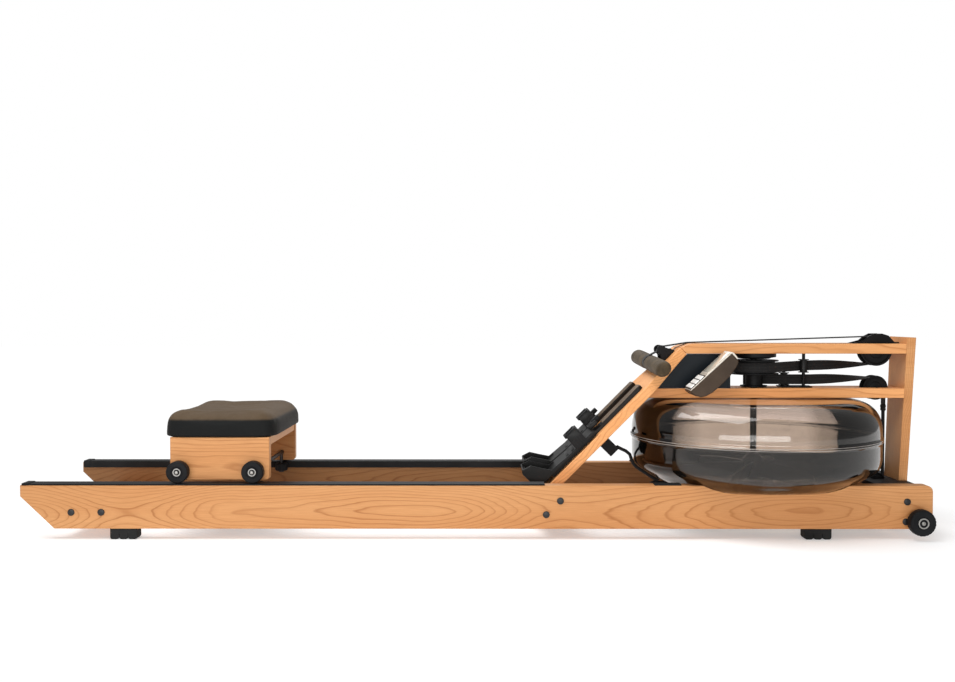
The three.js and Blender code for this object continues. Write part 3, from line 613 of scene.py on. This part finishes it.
def smooth_path(points, step):
    """Points at even steps along a Catmull-Rom curve, in metres."""
    points = [Vector(p) for p in points]
    ends = [points[0] * 2 - points[1], *points, points[-1] * 2 - points[-2]]
    fine = []
    for a, b, c, d in zip(ends, ends[1:], ends[2:], ends[3:]):
        count = max(2, int((c - b).length / (step * 0.25)))
        for k in range(count):
            t = k / count
            fine.append(0.5 * ((2 * b) + (c - a) * t + (2 * a - 5 * b + 4 * c - d) * t * t
                               + (3 * b - a - 3 * c + d) * t ** 3))
    fine.append(points[-1])
    result, travelled = [fine[0]], 0.0
    for p, q in zip(fine, fine[1:]):
        travelled += (q - p).length
        if travelled >= step:
            result.append(q)
            travelled = 0.0
    if (result[-1] - fine[-1]).length > step * 0.3:
        result.append(fine[-1])
    else:
        result[-1] = fine[-1]
    return result


def sweep(name, stations, material, body, replaced=()):
    """Sweeps a section along stations of (point, across, width, thickness), with rounded edges, in metres."""
    sides = 12
    vertices, lengths = [], [0.0]
    for i, (p, across, width, thickness) in enumerate(stations):
        before, after = stations[max(i - 1, 0)][0], stations[min(i + 1, len(stations) - 1)][0]
        along = (after - before).normalized()
        u = (across - along * across.dot(along)).normalized()
        v = along.cross(u)
        if i:
            lengths.append(lengths[-1] + (p - stations[i - 1][0]).length)
        for k in range(sides):
            t = 2 * math.pi * (k + 0.5) / sides
            c, s = math.cos(t), math.sin(t)
            power = 0.35 if width > 2 * thickness else 1.0
            a = math.copysign(abs(c) ** power, c) * width / 2
            b = math.copysign(abs(s) ** power, s) * thickness / 2
            vertices.append(p + u * a + v * b)
    faces, uvs = [], []
    widest = max(s[2] for s in stations)
    turn = 2 * widest if widest > 2 * stations[0][3] else math.pi * widest
    for i in range(len(stations) - 1):
        for k in range(sides):
            j = (k + 1) % sides
            faces.append([i * sides + k, i * sides + j, (i + 1) * sides + j, (i + 1) * sides + k])
            a, b = k / sides * turn, (k + 1) / sides * turn
            uvs += [(lengths[i], a), (lengths[i], b), (lengths[i + 1], b), (lengths[i + 1], a)]
    last = (len(stations) - 1) * sides
    faces += [list(range(sides)), list(range(last, last + sides))]
    uvs += [(0.0, 0.0)] * (2 * sides)
    return piece(name, vertices, faces, material, body, replaced, 50, uvs)


def arc(centre, radius, start, end, count, u=X_AXIS, v=Z_AXIS):
    """Points on an arc, angles in degrees from u towards v, radius in millimetres."""
    return [centre + (u * math.cos(math.radians(a)) + v * math.sin(math.radians(a))) * radius * MM
            for a in (start + (end - start) * i / count for i in range(count + 1))]


def hexagon(t):
    """The reach of a hexagon at an angle, as part of its corners' reach."""
    return math.cos(math.pi / 6) / math.cos((t + math.pi / 6) % (math.pi / 3) - math.pi / 6)


def screw(name, centre, axis, radius, height, body, material=oxide, socket=True):
    """A cap screw, its head standing proud of the surface by height, with or without a hexagon socket."""
    axis = Vector(axis).normalized()
    u, v = across_of(axis)
    count = 24
    rings = [(radius, -1.0, None), (radius, height - 1.2, None), (radius - 0.5, height - 0.35, None),
             (radius - 1.4, height, None)]
    if socket:
        rings += [(radius * part, h, hexagon) for part, h in
                  ((0.52, height), (0.5, height - 0.3), (0.48, min(height - 0.5, 0.5)))]
    vertices = []
    for r, h, form in rings:
        for k in range(count):
            t = 2 * math.pi * k / count
            reach = r * (form(t) if form else 1.0)
            vertices.append(centre + (u * math.cos(t) * reach + v * math.sin(t) * reach + axis * h) * MM)
    numbers = [list(range(i * count, (i + 1) * count)) for i in range(len(rings))]
    faces = ring_faces(numbers) + [numbers[0], numbers[-1]]
    return piece(name, vertices, faces, material, body, sharp=30)


# ---- bolts in the rails
RAIL_BOLTS = ((117.7, 62.5), (186.8, 62.6), (1211.5, 57.6), (1244.1, 89.3), (2040.6, 87.5), (2037.9, 41.6))
for side, s in SIDES:
    low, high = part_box(f"rail_{side}")
    outer = (low.y if s < 0 else high.y) / MM
    for i, (x, z) in enumerate(RAIL_BOLTS):
        screw(f"rail_bolt_{side}_{i + 1}", at(x, outer, z), (0, s, 0), 8.0, 2.6, "frame", socket=False)

# ---- wheels and centring rollers
def hub_of(node):
    """The middle of a wheel, on the machine's centre plane."""
    low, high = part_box(node)
    return Vector(((low.x + high.x) / 2, 0, (low.z + high.z) / 2))


SEAT_TYRE = [(5.4, 175.5), (23.8, 175.5), (25.4, 177.2), (25.4, 193.8), (24.2, 196.4), (14.0, 197.7),
             (12.8, 195.3), (5.4, 195.3), (5.4, 175.5)]
NUT = [(0, 196.2), (4.7, 196.2), (4.7, 198.0), (3.4, 199.6), (2.0, 200.1), (0, 200.2)]
TRANSPORT_TYRE = [(0, 190), (5, 190), (5, 203.6), (26.5, 203.6), (29.6, 206), (30.4, 209.5), (30.4, 221.5),
                  (29.2, 225.4), (26, 227.6), (14.4, 227.9), (13, 225.6), (0, 225.6)]
ROLLER_TYRE = [(4.3, -10), (14, -10), (16, -7.4), (16, 7.4), (14, 10), (4.3, 10), (4.3, -10)]


def tread(t):
    """24 grooves round a tyre."""
    return 1.0 - 0.022 * max(0.0, math.cos(24 * t)) ** 6


for side, s in SIDES:
    out = Y_AXIS * s
    for where in ("rear", "front"):
        node = f"seat_wheel_{where}_{side}"
        hub = hub_of(node)
        lathe(node + "_tyre", SEAT_TYRE, hub, out, tyre, node, (node,), count=56, corner=1.2)
        lathe(node + "_bearing", washer(6.7, 9.2, 194, 196.6), hub, out, bright, node, count=40, corner=0.4)
        lathe(node + "_seal", washer(4.9, 6.6, 194.6, 196), hub, out, rubber, node, count=32, corner=0.2)
        lathe(node + "_nut", NUT, hub, out, bright, "seat", count=24, corner=0.3)
    node = f"transport_wheel_{side}"
    hub = hub_of(node)
    lathe(node + "_tyre", TRANSPORT_TYRE, hub, out, tyre, node, (node,), count=96, corner=1.0, shape=tread)
    lathe(node + "_ring", washer(9.4, 12.2, 225, 227.8), hub, out, bright, node, count=40, corner=0.4)
    screw(node + "_bolt", hub + Y_AXIS * s * 225.6 * MM, out, 4.6, 2.2, node, bright)

for side, _ in SIDES:
    node = f"centring_roller_{side}"
    low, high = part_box(node)
    lathe(node + "_tyre", ROLLER_TYRE, (low + high) / 2, Z_AXIS, tyre, node, (node,), count=40, corner=1.2)

# ---- pulleys, spool, rollers
# node, groove radius, flange radius, half width of the rim, half width of the groove, hub radius, hub reach
PULLEYS = (("top_pulley", 32, 39.5, 14.5, 13, 5, 29), ("lower_pulley", 22.5, 30.5, 14.3, 13, 3.5, 25),
           ("base_pulley", 12, 20, 8, 4.5, 3, 21))
DISH = 2.2
for node, groove, flange, half, inner, stub, hub in PULLEYS:
    centre = Vector(JOINTS[node + "_spin"]["pos_m"])
    side = [(stub, half), (flange * 0.45, half), (flange * 0.5, half - DISH), (flange * 0.82, half - DISH),
            (flange * 0.87, half), (flange - 0.6, half), (flange - 0.2, half - 1), (groove, inner)]
    profile = [(0, -hub), (stub, -hub), *((r, -h) for r, h in side), *reversed(side), (stub, hub), (0, hub)]
    lathe(node + "_wheel", profile, centre, Y_AXIS, plastic, node, (node,), count=64, corner=0.5)

AXIS = Vector((JOINTS["drive_spool_spin"]["pos_m"][0], 0, 0))
DRUM = [(8.4, 339.5), (33, 339.5), (33, 342.4), (22, 342.8), (22, 369.6), (52, 370), (59.6, 370),
        (59.9, 373.4), (51, 374), (51, 402), (59.9, 402.6), (59.6, 405.6), (44, 405.6), (42, 403.8),
        (20, 403.8), (18, 405.6), (8.4, 405.6), (8.4, 339.5)]
BEARING = [(8.4, 409), (38, 409), (42, 411), (53.9, 413), (53.9, 422.2), (8.4, 422.2), (8.4, 409)]
lathe("drive_spool_drum", DRUM, AXIS, Z_AXIS, plastic, "drive_spool", ("drive_spool",), count=72, corner=0.5)
lathe("shaft_bearing_ring", BEARING, AXIS, Z_AXIS, plastic, "frame", ("shaft_bearing",), count=64, corner=0.8)
for place, low, high in (("upper", -16.5, 16.5), ("lower", -15.4, 16.5)):
    node = place + "_guide_roller"
    bobbin = [(4.3, low), (12.9, low), (12.9, low + 2), (9, low + 2.4), (9, high - 2.4), (12.9, high - 2),
              (12.9, high), (4.3, high), (4.3, low)]
    lathe(node + "_sleeve", bobbin, JOINTS[place + "_guide_spin"]["pos_m"], Z_AXIS, satin, node, (node,),
          count=32, corner=0.3)

# ---- water tank
LOWER_OUT = [(0, 103), (190, 103), (212, 105), (232, 109), (248, 116.5), (266, 128.5), (290, 145), (299, 165),
             (300.4, 212)]
LOWER_IN = [(296, 216), (295.5, 190), (293.5, 166), (284, 147.5), (258, 128.5), (228, 113), (200, 108.5),
            (0, 107)]
UPPER_OUT = [(300.4, 224), (299.5, 246), (294, 271), (282, 291), (264, 304), (238, 310.8), (204, 312.3),
             (18, 312.3)]
UPPER_IN = [(9.2, 308), (204, 308), (238, 306), (262, 299), (288, 275), (296, 245), (296, 220)]
NECK = [(17, 331), (9.2, 331)]
LOWER_RIM = [(303.2, 214.6), (303.2, 218.3), (296, 218.3)]
UPPER_RIM = [(296, 218.6), (303.2, 218.6), (303.2, 222.2)]
WATER_LEVEL = 229.0


def clear_wall(name, profile, node):
    """A turned wall whose inner faces only tint what lies behind them."""
    wall = lathe(name, profile, AXIS, Z_AXIS, shell, "frame", (node,), count=128, corner=0, sharp=60)
    wall.data.materials.append(shell_back)
    heart = AXIS + Vector((0, 0, 0.2))
    for face in wall.data.polygons:
        if face.normal.dot(wall.matrix_world @ face.center - heart) < 0:
            face.material_index = 1


def fair(points, step=5.0):
    """The profile as a smooth curve."""
    return [(p.x, p.y) for p in smooth_path([Vector((r, h, 0)) for r, h in points], step)]


lower_wall = LOWER_OUT[:2] + fair(LOWER_OUT[1:])[1:] + LOWER_RIM + fair(LOWER_IN[:-1]) + LOWER_IN[-1:]
upper_wall = UPPER_RIM + fair(UPPER_OUT[:-1]) + UPPER_OUT[-1:] + NECK + UPPER_IN[:1] + fair(UPPER_IN[1:])
clear_wall("tank_lower_clear", lower_wall, "tank_lower_shell")
clear_wall("tank_upper_clear", upper_wall + UPPER_RIM[:1], "tank_upper_shell")
for place, z in (("lower", 215.6), ("upper", 220.6)):
    lathe(f"tank_seam_{place}", washer(301.6, 303.3, z, z + 0.9), AXIS, Z_AXIS, seam, "frame", count=128,
          corner=0.2)
wet = [(0, 107.6)] + [(r + 0.4, h + 0.4) for r, h in reversed(fair(LOWER_IN[:-1]))]
wet += [(296.2, 224), (296.0, 229.5), (292, WATER_LEVEL - 0.2), (280, WATER_LEVEL - 1)]
wet += [(r, WATER_LEVEL - 1 + 1.6 * math.sin(r / 26.0)) for r in range(260, 10, -10)]
wet += [(8.6, WATER_LEVEL), (8.6, 192), (0, 191.5)]
lathe("tank_water_body", wet, AXIS, Z_AXIS, water, "frame", count=96, corner=0, sharp=70)

# ---- straps and cord
TAPE = (25 * MM, 3 * MM)
CORD = 8.5 * MM
LAP = 3 / 2 + 0.25
WRAP = LAP + 0.5
TOP = Vector(JOINTS["top_pulley_spin"]["pos_m"])
LOWER = Vector(JOINTS["lower_pulley_spin"]["pos_m"])
BASE = Vector(JOINTS["base_pulley_spin"]["pos_m"])
UPPER_GUIDE = Vector(JOINTS["upper_guide_spin"]["pos_m"])
LOWER_GUIDE = Vector(JOINTS["lower_guide_spin"]["pos_m"])
REST_BAR = on_board(421, 0, 17)
REST_RADIUS, TOP_RADIUS, LOWER_RADIUS, GUIDE_RADIUS = 11, 32, 22.5, 9
DECK_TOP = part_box("top_deck")[1].z


def tape(points, across=Y_AXIS, size=TAPE):
    return [(Vector(p), across, *size) for p in points]


def twist(start, end, first, last, count):
    """A straight run that turns its width from one direction to the other."""
    stations = []
    for i in range(count + 1):
        t = i / count
        across = (first * math.cos(t * QUARTER) + last * math.sin(t * QUARTER)).normalized()
        stations.append((start.lerp(end, t), across, *TAPE))
    return stations


def drum(z):
    """The drum's middle at a height in millimetres."""
    return Vector((AXIS.x, 0, z * MM))


drive = tape(arc(REST_BAR, REST_RADIUS + LAP, 135, 95, 6))
drive += tape([at(1574, 0, 0) + Z_AXIS * (DECK_TOP + (LAP + 0.4) * MM)])
drive += tape(arc(TOP, TOP_RADIUS + WRAP, 88, -88, 28))
drive += twist(TOP + Vector((-8 * MM, 0, -(TOP_RADIUS + WRAP) * MM)),
               Vector((REAR + 1885 * MM, 0, UPPER_GUIDE.z + MM)), Y_AXIS, Z_AXIS, 24)
drive += tape(arc(UPPER_GUIDE, GUIDE_RADIUS + LAP, 90, 112, 4, X_AXIS, Y_AXIS), Z_AXIS)
drive += tape(arc(drum(388), 51 + WRAP, -65, -170, 20, X_AXIS, Y_AXIS), Z_AXIS)
sweep("drive_strap_tape", drive, strap_weave, "frame", ("drive_strap",))

CORD_X = LOWER.x + (LOWER_RADIUS + WRAP) * MM
recoil = tape(arc(drum(356), 22 + WRAP, 170, 80, 14, X_AXIS, Y_AXIS), Z_AXIS)
recoil += tape(arc(LOWER_GUIDE, GUIDE_RADIUS + LAP, -112, -90, 4, X_AXIS, Y_AXIS), Z_AXIS)
recoil += twist(Vector((REAR + 1880 * MM, 0, LOWER_GUIDE.z)),
                LOWER + Vector((-6 * MM, 0, (LOWER_RADIUS + WRAP) * MM)), Z_AXIS, Y_AXIS, 24)
recoil += tape(arc(LOWER, LOWER_RADIUS + WRAP, 86, 0, 14))
recoil += tape([Vector((CORD_X, 0, 296 * MM))])
recoil.append((Vector((CORD_X, 0, 286 * MM)), Y_AXIS, 12 * MM, 5 * MM))
sweep("recoil_tape", recoil, strap_weave, "frame", ("recoil_strap",))
low_run = [(1528, 98.2), (1507, 103.6), (1490, 111.4), (1471.5, 123.6), (1446, 141), (1436, 160),
           (1433, 169.5), (1425.5, 176.5), (1414, 181.5), (1406, 186.4), (1399.6, 189.2)]
hang = [Vector((CORD_X, 0, z * MM)) for z in (287, 250, 200, 150, 120)]
hang += arc(BASE, (CORD_X - BASE.x) / MM, 0, -90, 8) + [at(x, 0, z) for x, z in low_run]
sweep("recoil_cord", [(p, Y_AXIS, CORD, CORD) for p in smooth_path(hang, 0.012)], cord_braid, "frame")
KNOT = [(0, -9), (5, -8.6), (7, -5), (6, -1), (7.2, 3), (6.2, 7), (3, 9), (0, 9.2)]
lathe("cord_knot", KNOT, Vector((CORD_X, 0, 287 * MM)), Z_AXIS, cord_braid, "frame", count=24, corner=0.8)

# short strap between the rest and the handle bar
HANDLE = (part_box("handle_bar")[0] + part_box("handle_bar")[1]) / 2
loop_radius = (14.6 + LAP) * MM
towards = (REST_BAR - HANDLE).normalized()
sideways = Vector((-towards.z, 0, towards.x))
start_angle = 135
reach = arc(REST_BAR, REST_RADIUS + LAP, start_angle + 40, start_angle, 6)[:-1]
leave = HANDLE + (sideways + towards * 0.2).normalized() * loop_radius
lead = [reach[0].lerp(leave, t) for t in (0.9, 0.6, 0.3)]
loop = [HANDLE + (towards * math.cos(a) + sideways * math.sin(a)) * loop_radius
        for a in (math.radians(80 + 22 * i) for i in range(14))]
hitch = sweep("handle_strap", tape(list(reversed(loop)) + lead + reach), strap_weave, None)
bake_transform(hitch)


# ---- handle
TILT = math.radians(2.2)


def handle_place(y, radius, t):
    """A point on the grip's oval skin."""
    local = Vector((radius * 1.08 * math.cos(t), 0, radius * 0.93 * math.sin(t)))
    local = Matrix.Rotation(-INCLINE, 3, "Y") @ local + Vector((0, y, 0))
    return HANDLE + (Matrix.Rotation(TILT, 3, "X") @ local) * MM


# (distance from the middle of the handle, radius)
GRIP = [(13.2, 10.4), (13.2, 15.8), (13.7, 17.0), (15.5, 17.8), (26, 18.2), (60, 18.4), (110, 18.5),
        (160, 18.4), (185, 18.0), (192, 17.2), (198, 15.0), (202, 11.6), (204.4, 6.4), (205, 0)]
for side, s in SIDES:
    outline = [(r, y) for y, r in fair(GRIP[:-1], 4.0) + GRIP[-1:]]
    vertices, rings = turned(outline, 48, lambda r, y, t: handle_place(s * y, r, t))
    faces = [rings[0]] + ring_faces(rings)
    grip = piece(f"grip_sleeve_{side}", vertices, faces, grip_foam, "handle", (f"grip_{side}",))
bar = Matrix.Rotation(TILT, 3, "X") @ Y_AXIS
lathe("handle_core", washer(9.2, 14.4, -13, 13), HANDLE, bar, rubber, "handle", count=40, corner=0.3)
half_roller = [(0, 17.6), (10, 17.6), (11.6, 16), (11.6, 14), (10.9, 13.4)]
roller = [(r, -h) for r, h in half_roller] + half_roller[::-1]
lathe("rest_roller", roller, REST_BAR, Y_AXIS, plastic, "frame", count=32, corner=0.4)


# ---- seat cushion
CUSHION_LOW, CUSHION_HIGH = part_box("seat_cushion")
CUSHION_X = 451
HALF_X, HALF_Y, UNDER = 133.5, 177.0, 232.4
CLOTH_FRAMES = 20


def cushion_outline(t, k):
    """The cushion's rounded rectangle, k times its size, with the notch in its rear edge."""
    c, s = math.cos(t), math.sin(t)
    x = math.copysign(abs(c) ** 0.25, c) * HALF_X * k
    y = math.copysign(abs(s) ** 0.25, s) * HALF_Y * k
    if x < 0:
        x += 36 * k * math.exp(-((y / 38) ** 2)) * (-x / HALF_X)
    return x, y


def crown(x, y):
    """The height of the cushion's top, with two dishes, a channel between them and a lower front edge."""
    u, v = x / HALF_X, abs(y) / HALF_Y
    dish = 13 * math.exp(-(((u + 0.1) / 0.55) ** 2) - ((v - 0.45) / 0.32) ** 2)
    channel = 13 * math.exp(-((v / 0.15) ** 2)) * (0.6 - 0.4 * u)
    nose = 12 * max(0.0, u - 0.62) ** 2 / 0.14
    return 293 - dish - channel + 4 * v * v - nose


def cushion_shell(inset=0.6):
    """The cushion's form, a little smaller so that it can swell into its space."""
    count = 120
    levels = [(1.0, 0.4), (1.0, 6), (0.998, 16), (0.992, 30), (0.986, 38)]
    tops = [(0.975, 22), (0.955, 14.5), (0.93, 10), (0.9, 6.8), (0.85, 3.9), (0.78, 1.8), (0.7, 0.8),
            (0.6, 0.2), (0.5, 0), (0.38, 0), (0.26, 0), (0.13, 0)]
    shrink = 1 - inset / 120
    vertices, faces = [at(CUSHION_X, 0, UNDER)], []

    def ring(k):
        return [cushion_outline(2 * math.pi * (j + 0.5) / count, k * shrink) for j in range(count)]

    for k, rise in levels:
        vertices += [at(CUSHION_X + x, y, UNDER + rise) for x, y in ring(k)]
    for k, drop in tops:
        vertices += [at(CUSHION_X + x, y, crown(x, y) - drop - inset) for x, y in ring(k)]
    vertices.append(at(CUSHION_X, 0, crown(0, 0) - inset))
    rows, last = len(levels) + len(tops), len(vertices) - 1
    for j in range(count):
        k = (j + 1) % count
        faces.append([0, 1 + k, 1 + j])
        faces += [[1 + i * count + j, 1 + i * count + k, 1 + (i + 1) * count + k, 1 + (i + 1) * count + j]
                  for i in range(rows - 1)]
        faces.append([1 + (rows - 1) * count + j, 1 + (rows - 1) * count + k, last])
    return vertices, faces


def bake_modifiers(obj):
    """Applies the object's modifiers to its mesh."""
    bpy.context.view_layer.update()
    evaluated = obj.evaluated_get(bpy.context.evaluated_depsgraph_get())
    mesh = bpy.data.meshes.new_from_object(evaluated)
    obj.modifiers.clear()
    obj.data = mesh


def remesh(obj, size):
    """Rebuilds the mesh with even faces of that size, in metres."""
    modifier = obj.modifiers.new("remesh", "REMESH")
    modifier.mode = "VOXEL"
    modifier.voxel_size = size
    bake_modifiers(obj)


def swell(obj, pressure, cap, fixed):
    """Inflates a closed mesh as cloth, and lets no point move further than cap, in metres."""
    rest = [v.co.copy() for v in obj.data.vertices]
    pins = obj.vertex_groups.new(name="pins")
    pins.add([i for i, p in enumerate(rest) if fixed(p)], 1.0, "REPLACE")
    cloth = obj.modifiers.new("cloth", "CLOTH")
    settings = cloth.settings
    settings.quality = 6
    settings.mass = 0.4
    settings.tension_stiffness = settings.compression_stiffness = 40
    settings.bending_stiffness = 6
    settings.use_pressure = True
    settings.uniform_pressure_force = pressure
    settings.effector_weights.gravity = 0
    settings.vertex_group_mass = "pins"
    cloth.point_cache.frame_start = 1
    cloth.point_cache.frame_end = CLOTH_FRAMES
    scene = bpy.context.scene
    for number in range(1, CLOTH_FRAMES + 1):
        scene.frame_set(number)
    bake_modifiers(obj)
    scene.frame_set(1)
    for vertex, start in zip(obj.data.vertices, rest):
        move = vertex.co - start
        if move.length > cap:
            vertex.co = start + move.normalized() * cap
    obj.vertex_groups.clear()


vertices, faces = cushion_shell()
cushion = piece("seat_pad", vertices, faces, foam, None, sharp=180)
remesh(cushion, 0.005)
swell(cushion, 3.0, 0.002, lambda p: p.z < (UNDER + 7) * MM)
smooth = cushion.modifiers.new("smooth", "CORRECTIVE_SMOOTH")
smooth.factor, smooth.iterations = 0.5, 2
smooth.use_only_smooth = True
subdivide = cushion.modifiers.new("subdivide", "SUBSURF")
subdivide.levels = subdivide.render_levels = 1
bake_modifiers(cushion)
for vertex in cushion.data.vertices:
    for k in range(3):
        vertex.co[k] = min(max(vertex.co[k], CUSHION_LOW[k]), CUSHION_HIGH[k])
cushion.data.shade_smooth()
if not cushion.data.materials:
    cushion.data.materials.append(foam)
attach(cushion, "seat")
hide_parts("seat_cushion")


# ---- foot plates
# side, plate's edge across the board, its setting up the board, strap's place, buckle's base, strap's rise
FOOT_PLATES = (("right", -100, 6, 117, 46.5, 36), ("left", 6, 16, 170, 40.5, 30))
for side, y0, lift, strap_s, top, rise in FOOT_PLATES:
    body = f"heel_slide_{side}"
    mid = y0 + 47
    sway = []
    for i in range(33):
        t = math.pi * i / 32
        y = mid - 48.6 * math.copysign(abs(math.cos(t)) ** 0.4, math.cos(t))
        sway.append(on_board(strap_s + 3 * math.sin(t), y, 10.5 + rise * math.sin(t) ** 0.6))
    sweep(f"toe_strap_{side}", [(p, UP_SLOPE, 34 * MM, 2.6 * MM) for p in sway], strap_weave, body)
    on_strap = lambda a, b, c: on_board(strap_s + a, mid - 18 + c, top + b)
    on_plate = lambda a, b, c: on_board(lift + a, mid + c, b)
    on_base = lambda a, b, c: on_board(a, c, b)
    block(f"toe_buckle_{side}", (-18, 0, -26), (16, 7, 20), on_strap, plastic, body, 2.4)
    block(f"toe_buckle_flap_{side}", (-15, -24, -29.5), (17, 4, -24), on_strap, satin, body, 2.4)
    block(f"toe_buckle_bar_{side}", (-12, 7, -8), (12, 9.5, -2), on_strap, satin, body, 0.8)
    for k, y in enumerate((y0 + 3, y0 + 91)):
        screw(f"toe_anchor_{side}_{k + 1}", on_board(strap_s, y, 15.4), OFF_BOARD, 5, 2.4, body)
    block(f"heel_latch_{side}", (150, 15.6, -17), (176, 27, 17), on_plate, satin, body, 2.5)
    block(f"heel_latch_tab_{side}", (166, 20, -10), (188, 30, 10), on_plate, plastic, body, 2.0)
    for k in range(5):
        low, high = (-31.2, 22 + 9 * k, -36), (-29.6, 26 + 9 * k, 36)
        block(f"heel_step_{side}_{k + 1}", low, high, on_plate, satin, body, 0.5)
    for k in range(6):
        low, high = (28 + 18 * k, 15.2, -34), (36 + 18 * k, 16.8, 34)
        block(f"sole_rib_{side}_{k + 1}", low, high, on_plate, satin, body, 0.6)
    # stretcher ribs in ribbed_plastic, whose lighter colour is a painted highlight
    for k in range(4):
        low, high = (189, 9.6, y0 + 26.7 + 11 * k), (315.3, 10.9, y0 + 32.3 + 11 * k)
        block(f"stretcher_rib_{side}_{k + 1}", low, high, on_base, ribbed, "frame", 0.4)
    for k, place_s in enumerate((206, 300)):
        screw(f"stretcher_screw_{side}_{k + 1}", on_board(place_s, mid, 8.0), OFF_BOARD, 5, 2.2, "frame")

# ---- monitor
MONITOR_ANGLE = math.radians(42.7)
MONITOR_FOOT = at(1556.9, 0, 342.9)
face_along = Vector((math.cos(MONITOR_ANGLE), 0, math.sin(MONITOR_ANGLE)))
face_out = Vector((-math.sin(MONITOR_ANGLE), 0, math.cos(MONITOR_ANGLE)))


def on_face(a, b, c):
    """A point a up the monitor's face, b out of it and c across it, in millimetres."""
    return MONITOR_FOOT + (face_along * a + Y_AXIS * c + face_out * b) * MM


for part, low, high, finish, bevel in (
        ("bezel", (49, 1.2, -146.5), (126, 2.8, -83.5), silver, 0.8),
        ("screen", (54, 2.6, -142), (121, 3.4, -88), screen, 0.5),
        ("keys", (-4, 1.2, -149), (45, 1.8, -82), taupe, 0.4),
        ("lip", (128.4, -17, -148), (129.6, -3, -82), taupe, 0.4)):
    block("monitor_" + part, low, high, on_face, finish, "monitor", bevel)


# ---- small hardware
def upright(x, z, y):
    """A point in millimetres, with the height before the side."""
    return at(x, y, z)


for side, s in SIDES:
    for part, x, z, reach, finish, bevel in (
            ("track_stop", (3.2, 20), (111, 129.5), (163, 199.2), plastic, 1.2),
            ("tank_pad", (1461, 1523), (124.6, 127), (170, 199), rubber, 0.8)):
        y = sorted(s * r for r in reach)
        block(f"{part}_{side}", (x[0], z[0], y[0]), (x[1], z[1], y[1]), upright, finish, "frame", bevel)
    for k in range(4):
        place = at(120 + 330 * k, s * 196, 128.0)
        screw(f"track_screw_{side}_{k + 1}", place, Z_AXIS, 2.6, 0.3, "frame", socket=False)
for k, (x, y) in enumerate(((1814, -20), (1814, 20), (1870, -20), (1870, 20))):
    screw(f"guide_screw_{k + 1}", at(x, y, 341.2), Z_AXIS, 3.6, 2.0, "frame")
for k, z in enumerate((434.5, 326)):
    for side, s in SIDES:
        x = 2082 + 18.3 * (z - 30) / 433 + 21
        screw(f"post_screw_{side}_{k + 1}", at(x, s * 34, z), X_AXIS, 5.5, 1.1, "frame")
CLIP = [(0, -4), (4, -4), (5, -2), (5, 2), (3, 4.2), (0, 4.6)]
CLIP_REACH = 0.2985
for k, z in enumerate((230, 237)):
    turn = math.radians(181 + 3 * k)
    place = AXIS + Vector((math.cos(turn) * CLIP_REACH, math.sin(turn) * CLIP_REACH, z * MM))
    lathe(f"tank_clip_{k + 1}", CLIP, place, Z_AXIS, plastic, "frame", count=20)

# ---- floor, light, world
floor_mesh = bpy.data.meshes.new("floor")
floor_mesh.from_pydata([(-14, -14, 0), (14, -14, 0), (14, 14, 0), (-14, 14, 0)], [], [(0, 1, 2, 3)])
floor = bpy.data.objects.new("floor", floor_mesh)
bpy.context.scene.collection.objects.link(floor)
floor_look = Look("floor_paint", Roughness=0.8, Specular_IOR_Level=0.1)
ground = floor_look.coords()
oval = floor_look.coords(scale=(0.62, 1.25, 0))
reach = floor_look.node("VectorMath", {0: oval}, operation="LENGTH").outputs["Value"]
away = floor_look.ramp(reach, [(0.55, 0.0), (1.0, 1.0)], "EASE")
pale_grey = floor_look.mix(floor_look.noise(ground, 3.0), (0.80, 0.80, 0.80), (0.82, 0.82, 0.82))
floor_look.set("Base Color", floor_look.mix(away, pale_grey, (0.0, 0.0, 0.0)))
floor_look.shader.inputs["Emission Color"].default_value = (1, 1, 1, 1)
floor_look.set("Emission Strength", floor_look.line(away, 0.70, 0.32))
floor_mesh.materials.append(floor_look.material)
floor.location.z = -0.0005


def area_light(name, location, target, size, power):
    """A soft box that faces the target."""
    data = bpy.data.lights.new(name, "AREA")
    data.shape = "RECTANGLE"
    data.size, data.size_y = size
    data.energy = power
    made = bpy.data.objects.new(name, data)
    made.location = location
    made.rotation_euler = (Vector(target) - Vector(location)).to_track_quat("-Z", "Y").to_euler()
    bpy.context.scene.collection.objects.link(made)


area_light("front_box", (-0.4, -3.6, 0.50), (0, 0, 0.34), (4.4, 0.75), 66)
area_light("top_box", (-0.9, -0.6, 2.8), (0.15, 0, 0.1), (3.4, 1.6), 92)
area_light("back_box", (0.4, 3.2, 2.2), (0.2, 0, 0.3), (3.0, 1.2), 28)

world = bpy.data.worlds.new("world")
bpy.context.scene.world = world
world.use_nodes = True
tree = world.node_tree
background = tree.nodes["Background"]
seen = tree.nodes.new("ShaderNodeBackground")
for node, strength in ((background, 0.36), (seen, 1.0)):
    node.inputs[0].default_value = (1, 1, 1, 1)
    node.inputs[1].default_value = strength
path = tree.nodes.new("ShaderNodeLightPath")
choose = tree.nodes.new("ShaderNodeMixShader")
tree.links.new(path.outputs["Is Camera Ray"], choose.inputs[0])
tree.links.new(background.outputs[0], choose.inputs[1])
tree.links.new(seen.outputs[0], choose.inputs[2])
tree.links.new(choose.outputs[0], tree.nodes["World Output"].inputs[0])
bpy.context.scene.view_settings.view_transform = "Standard"
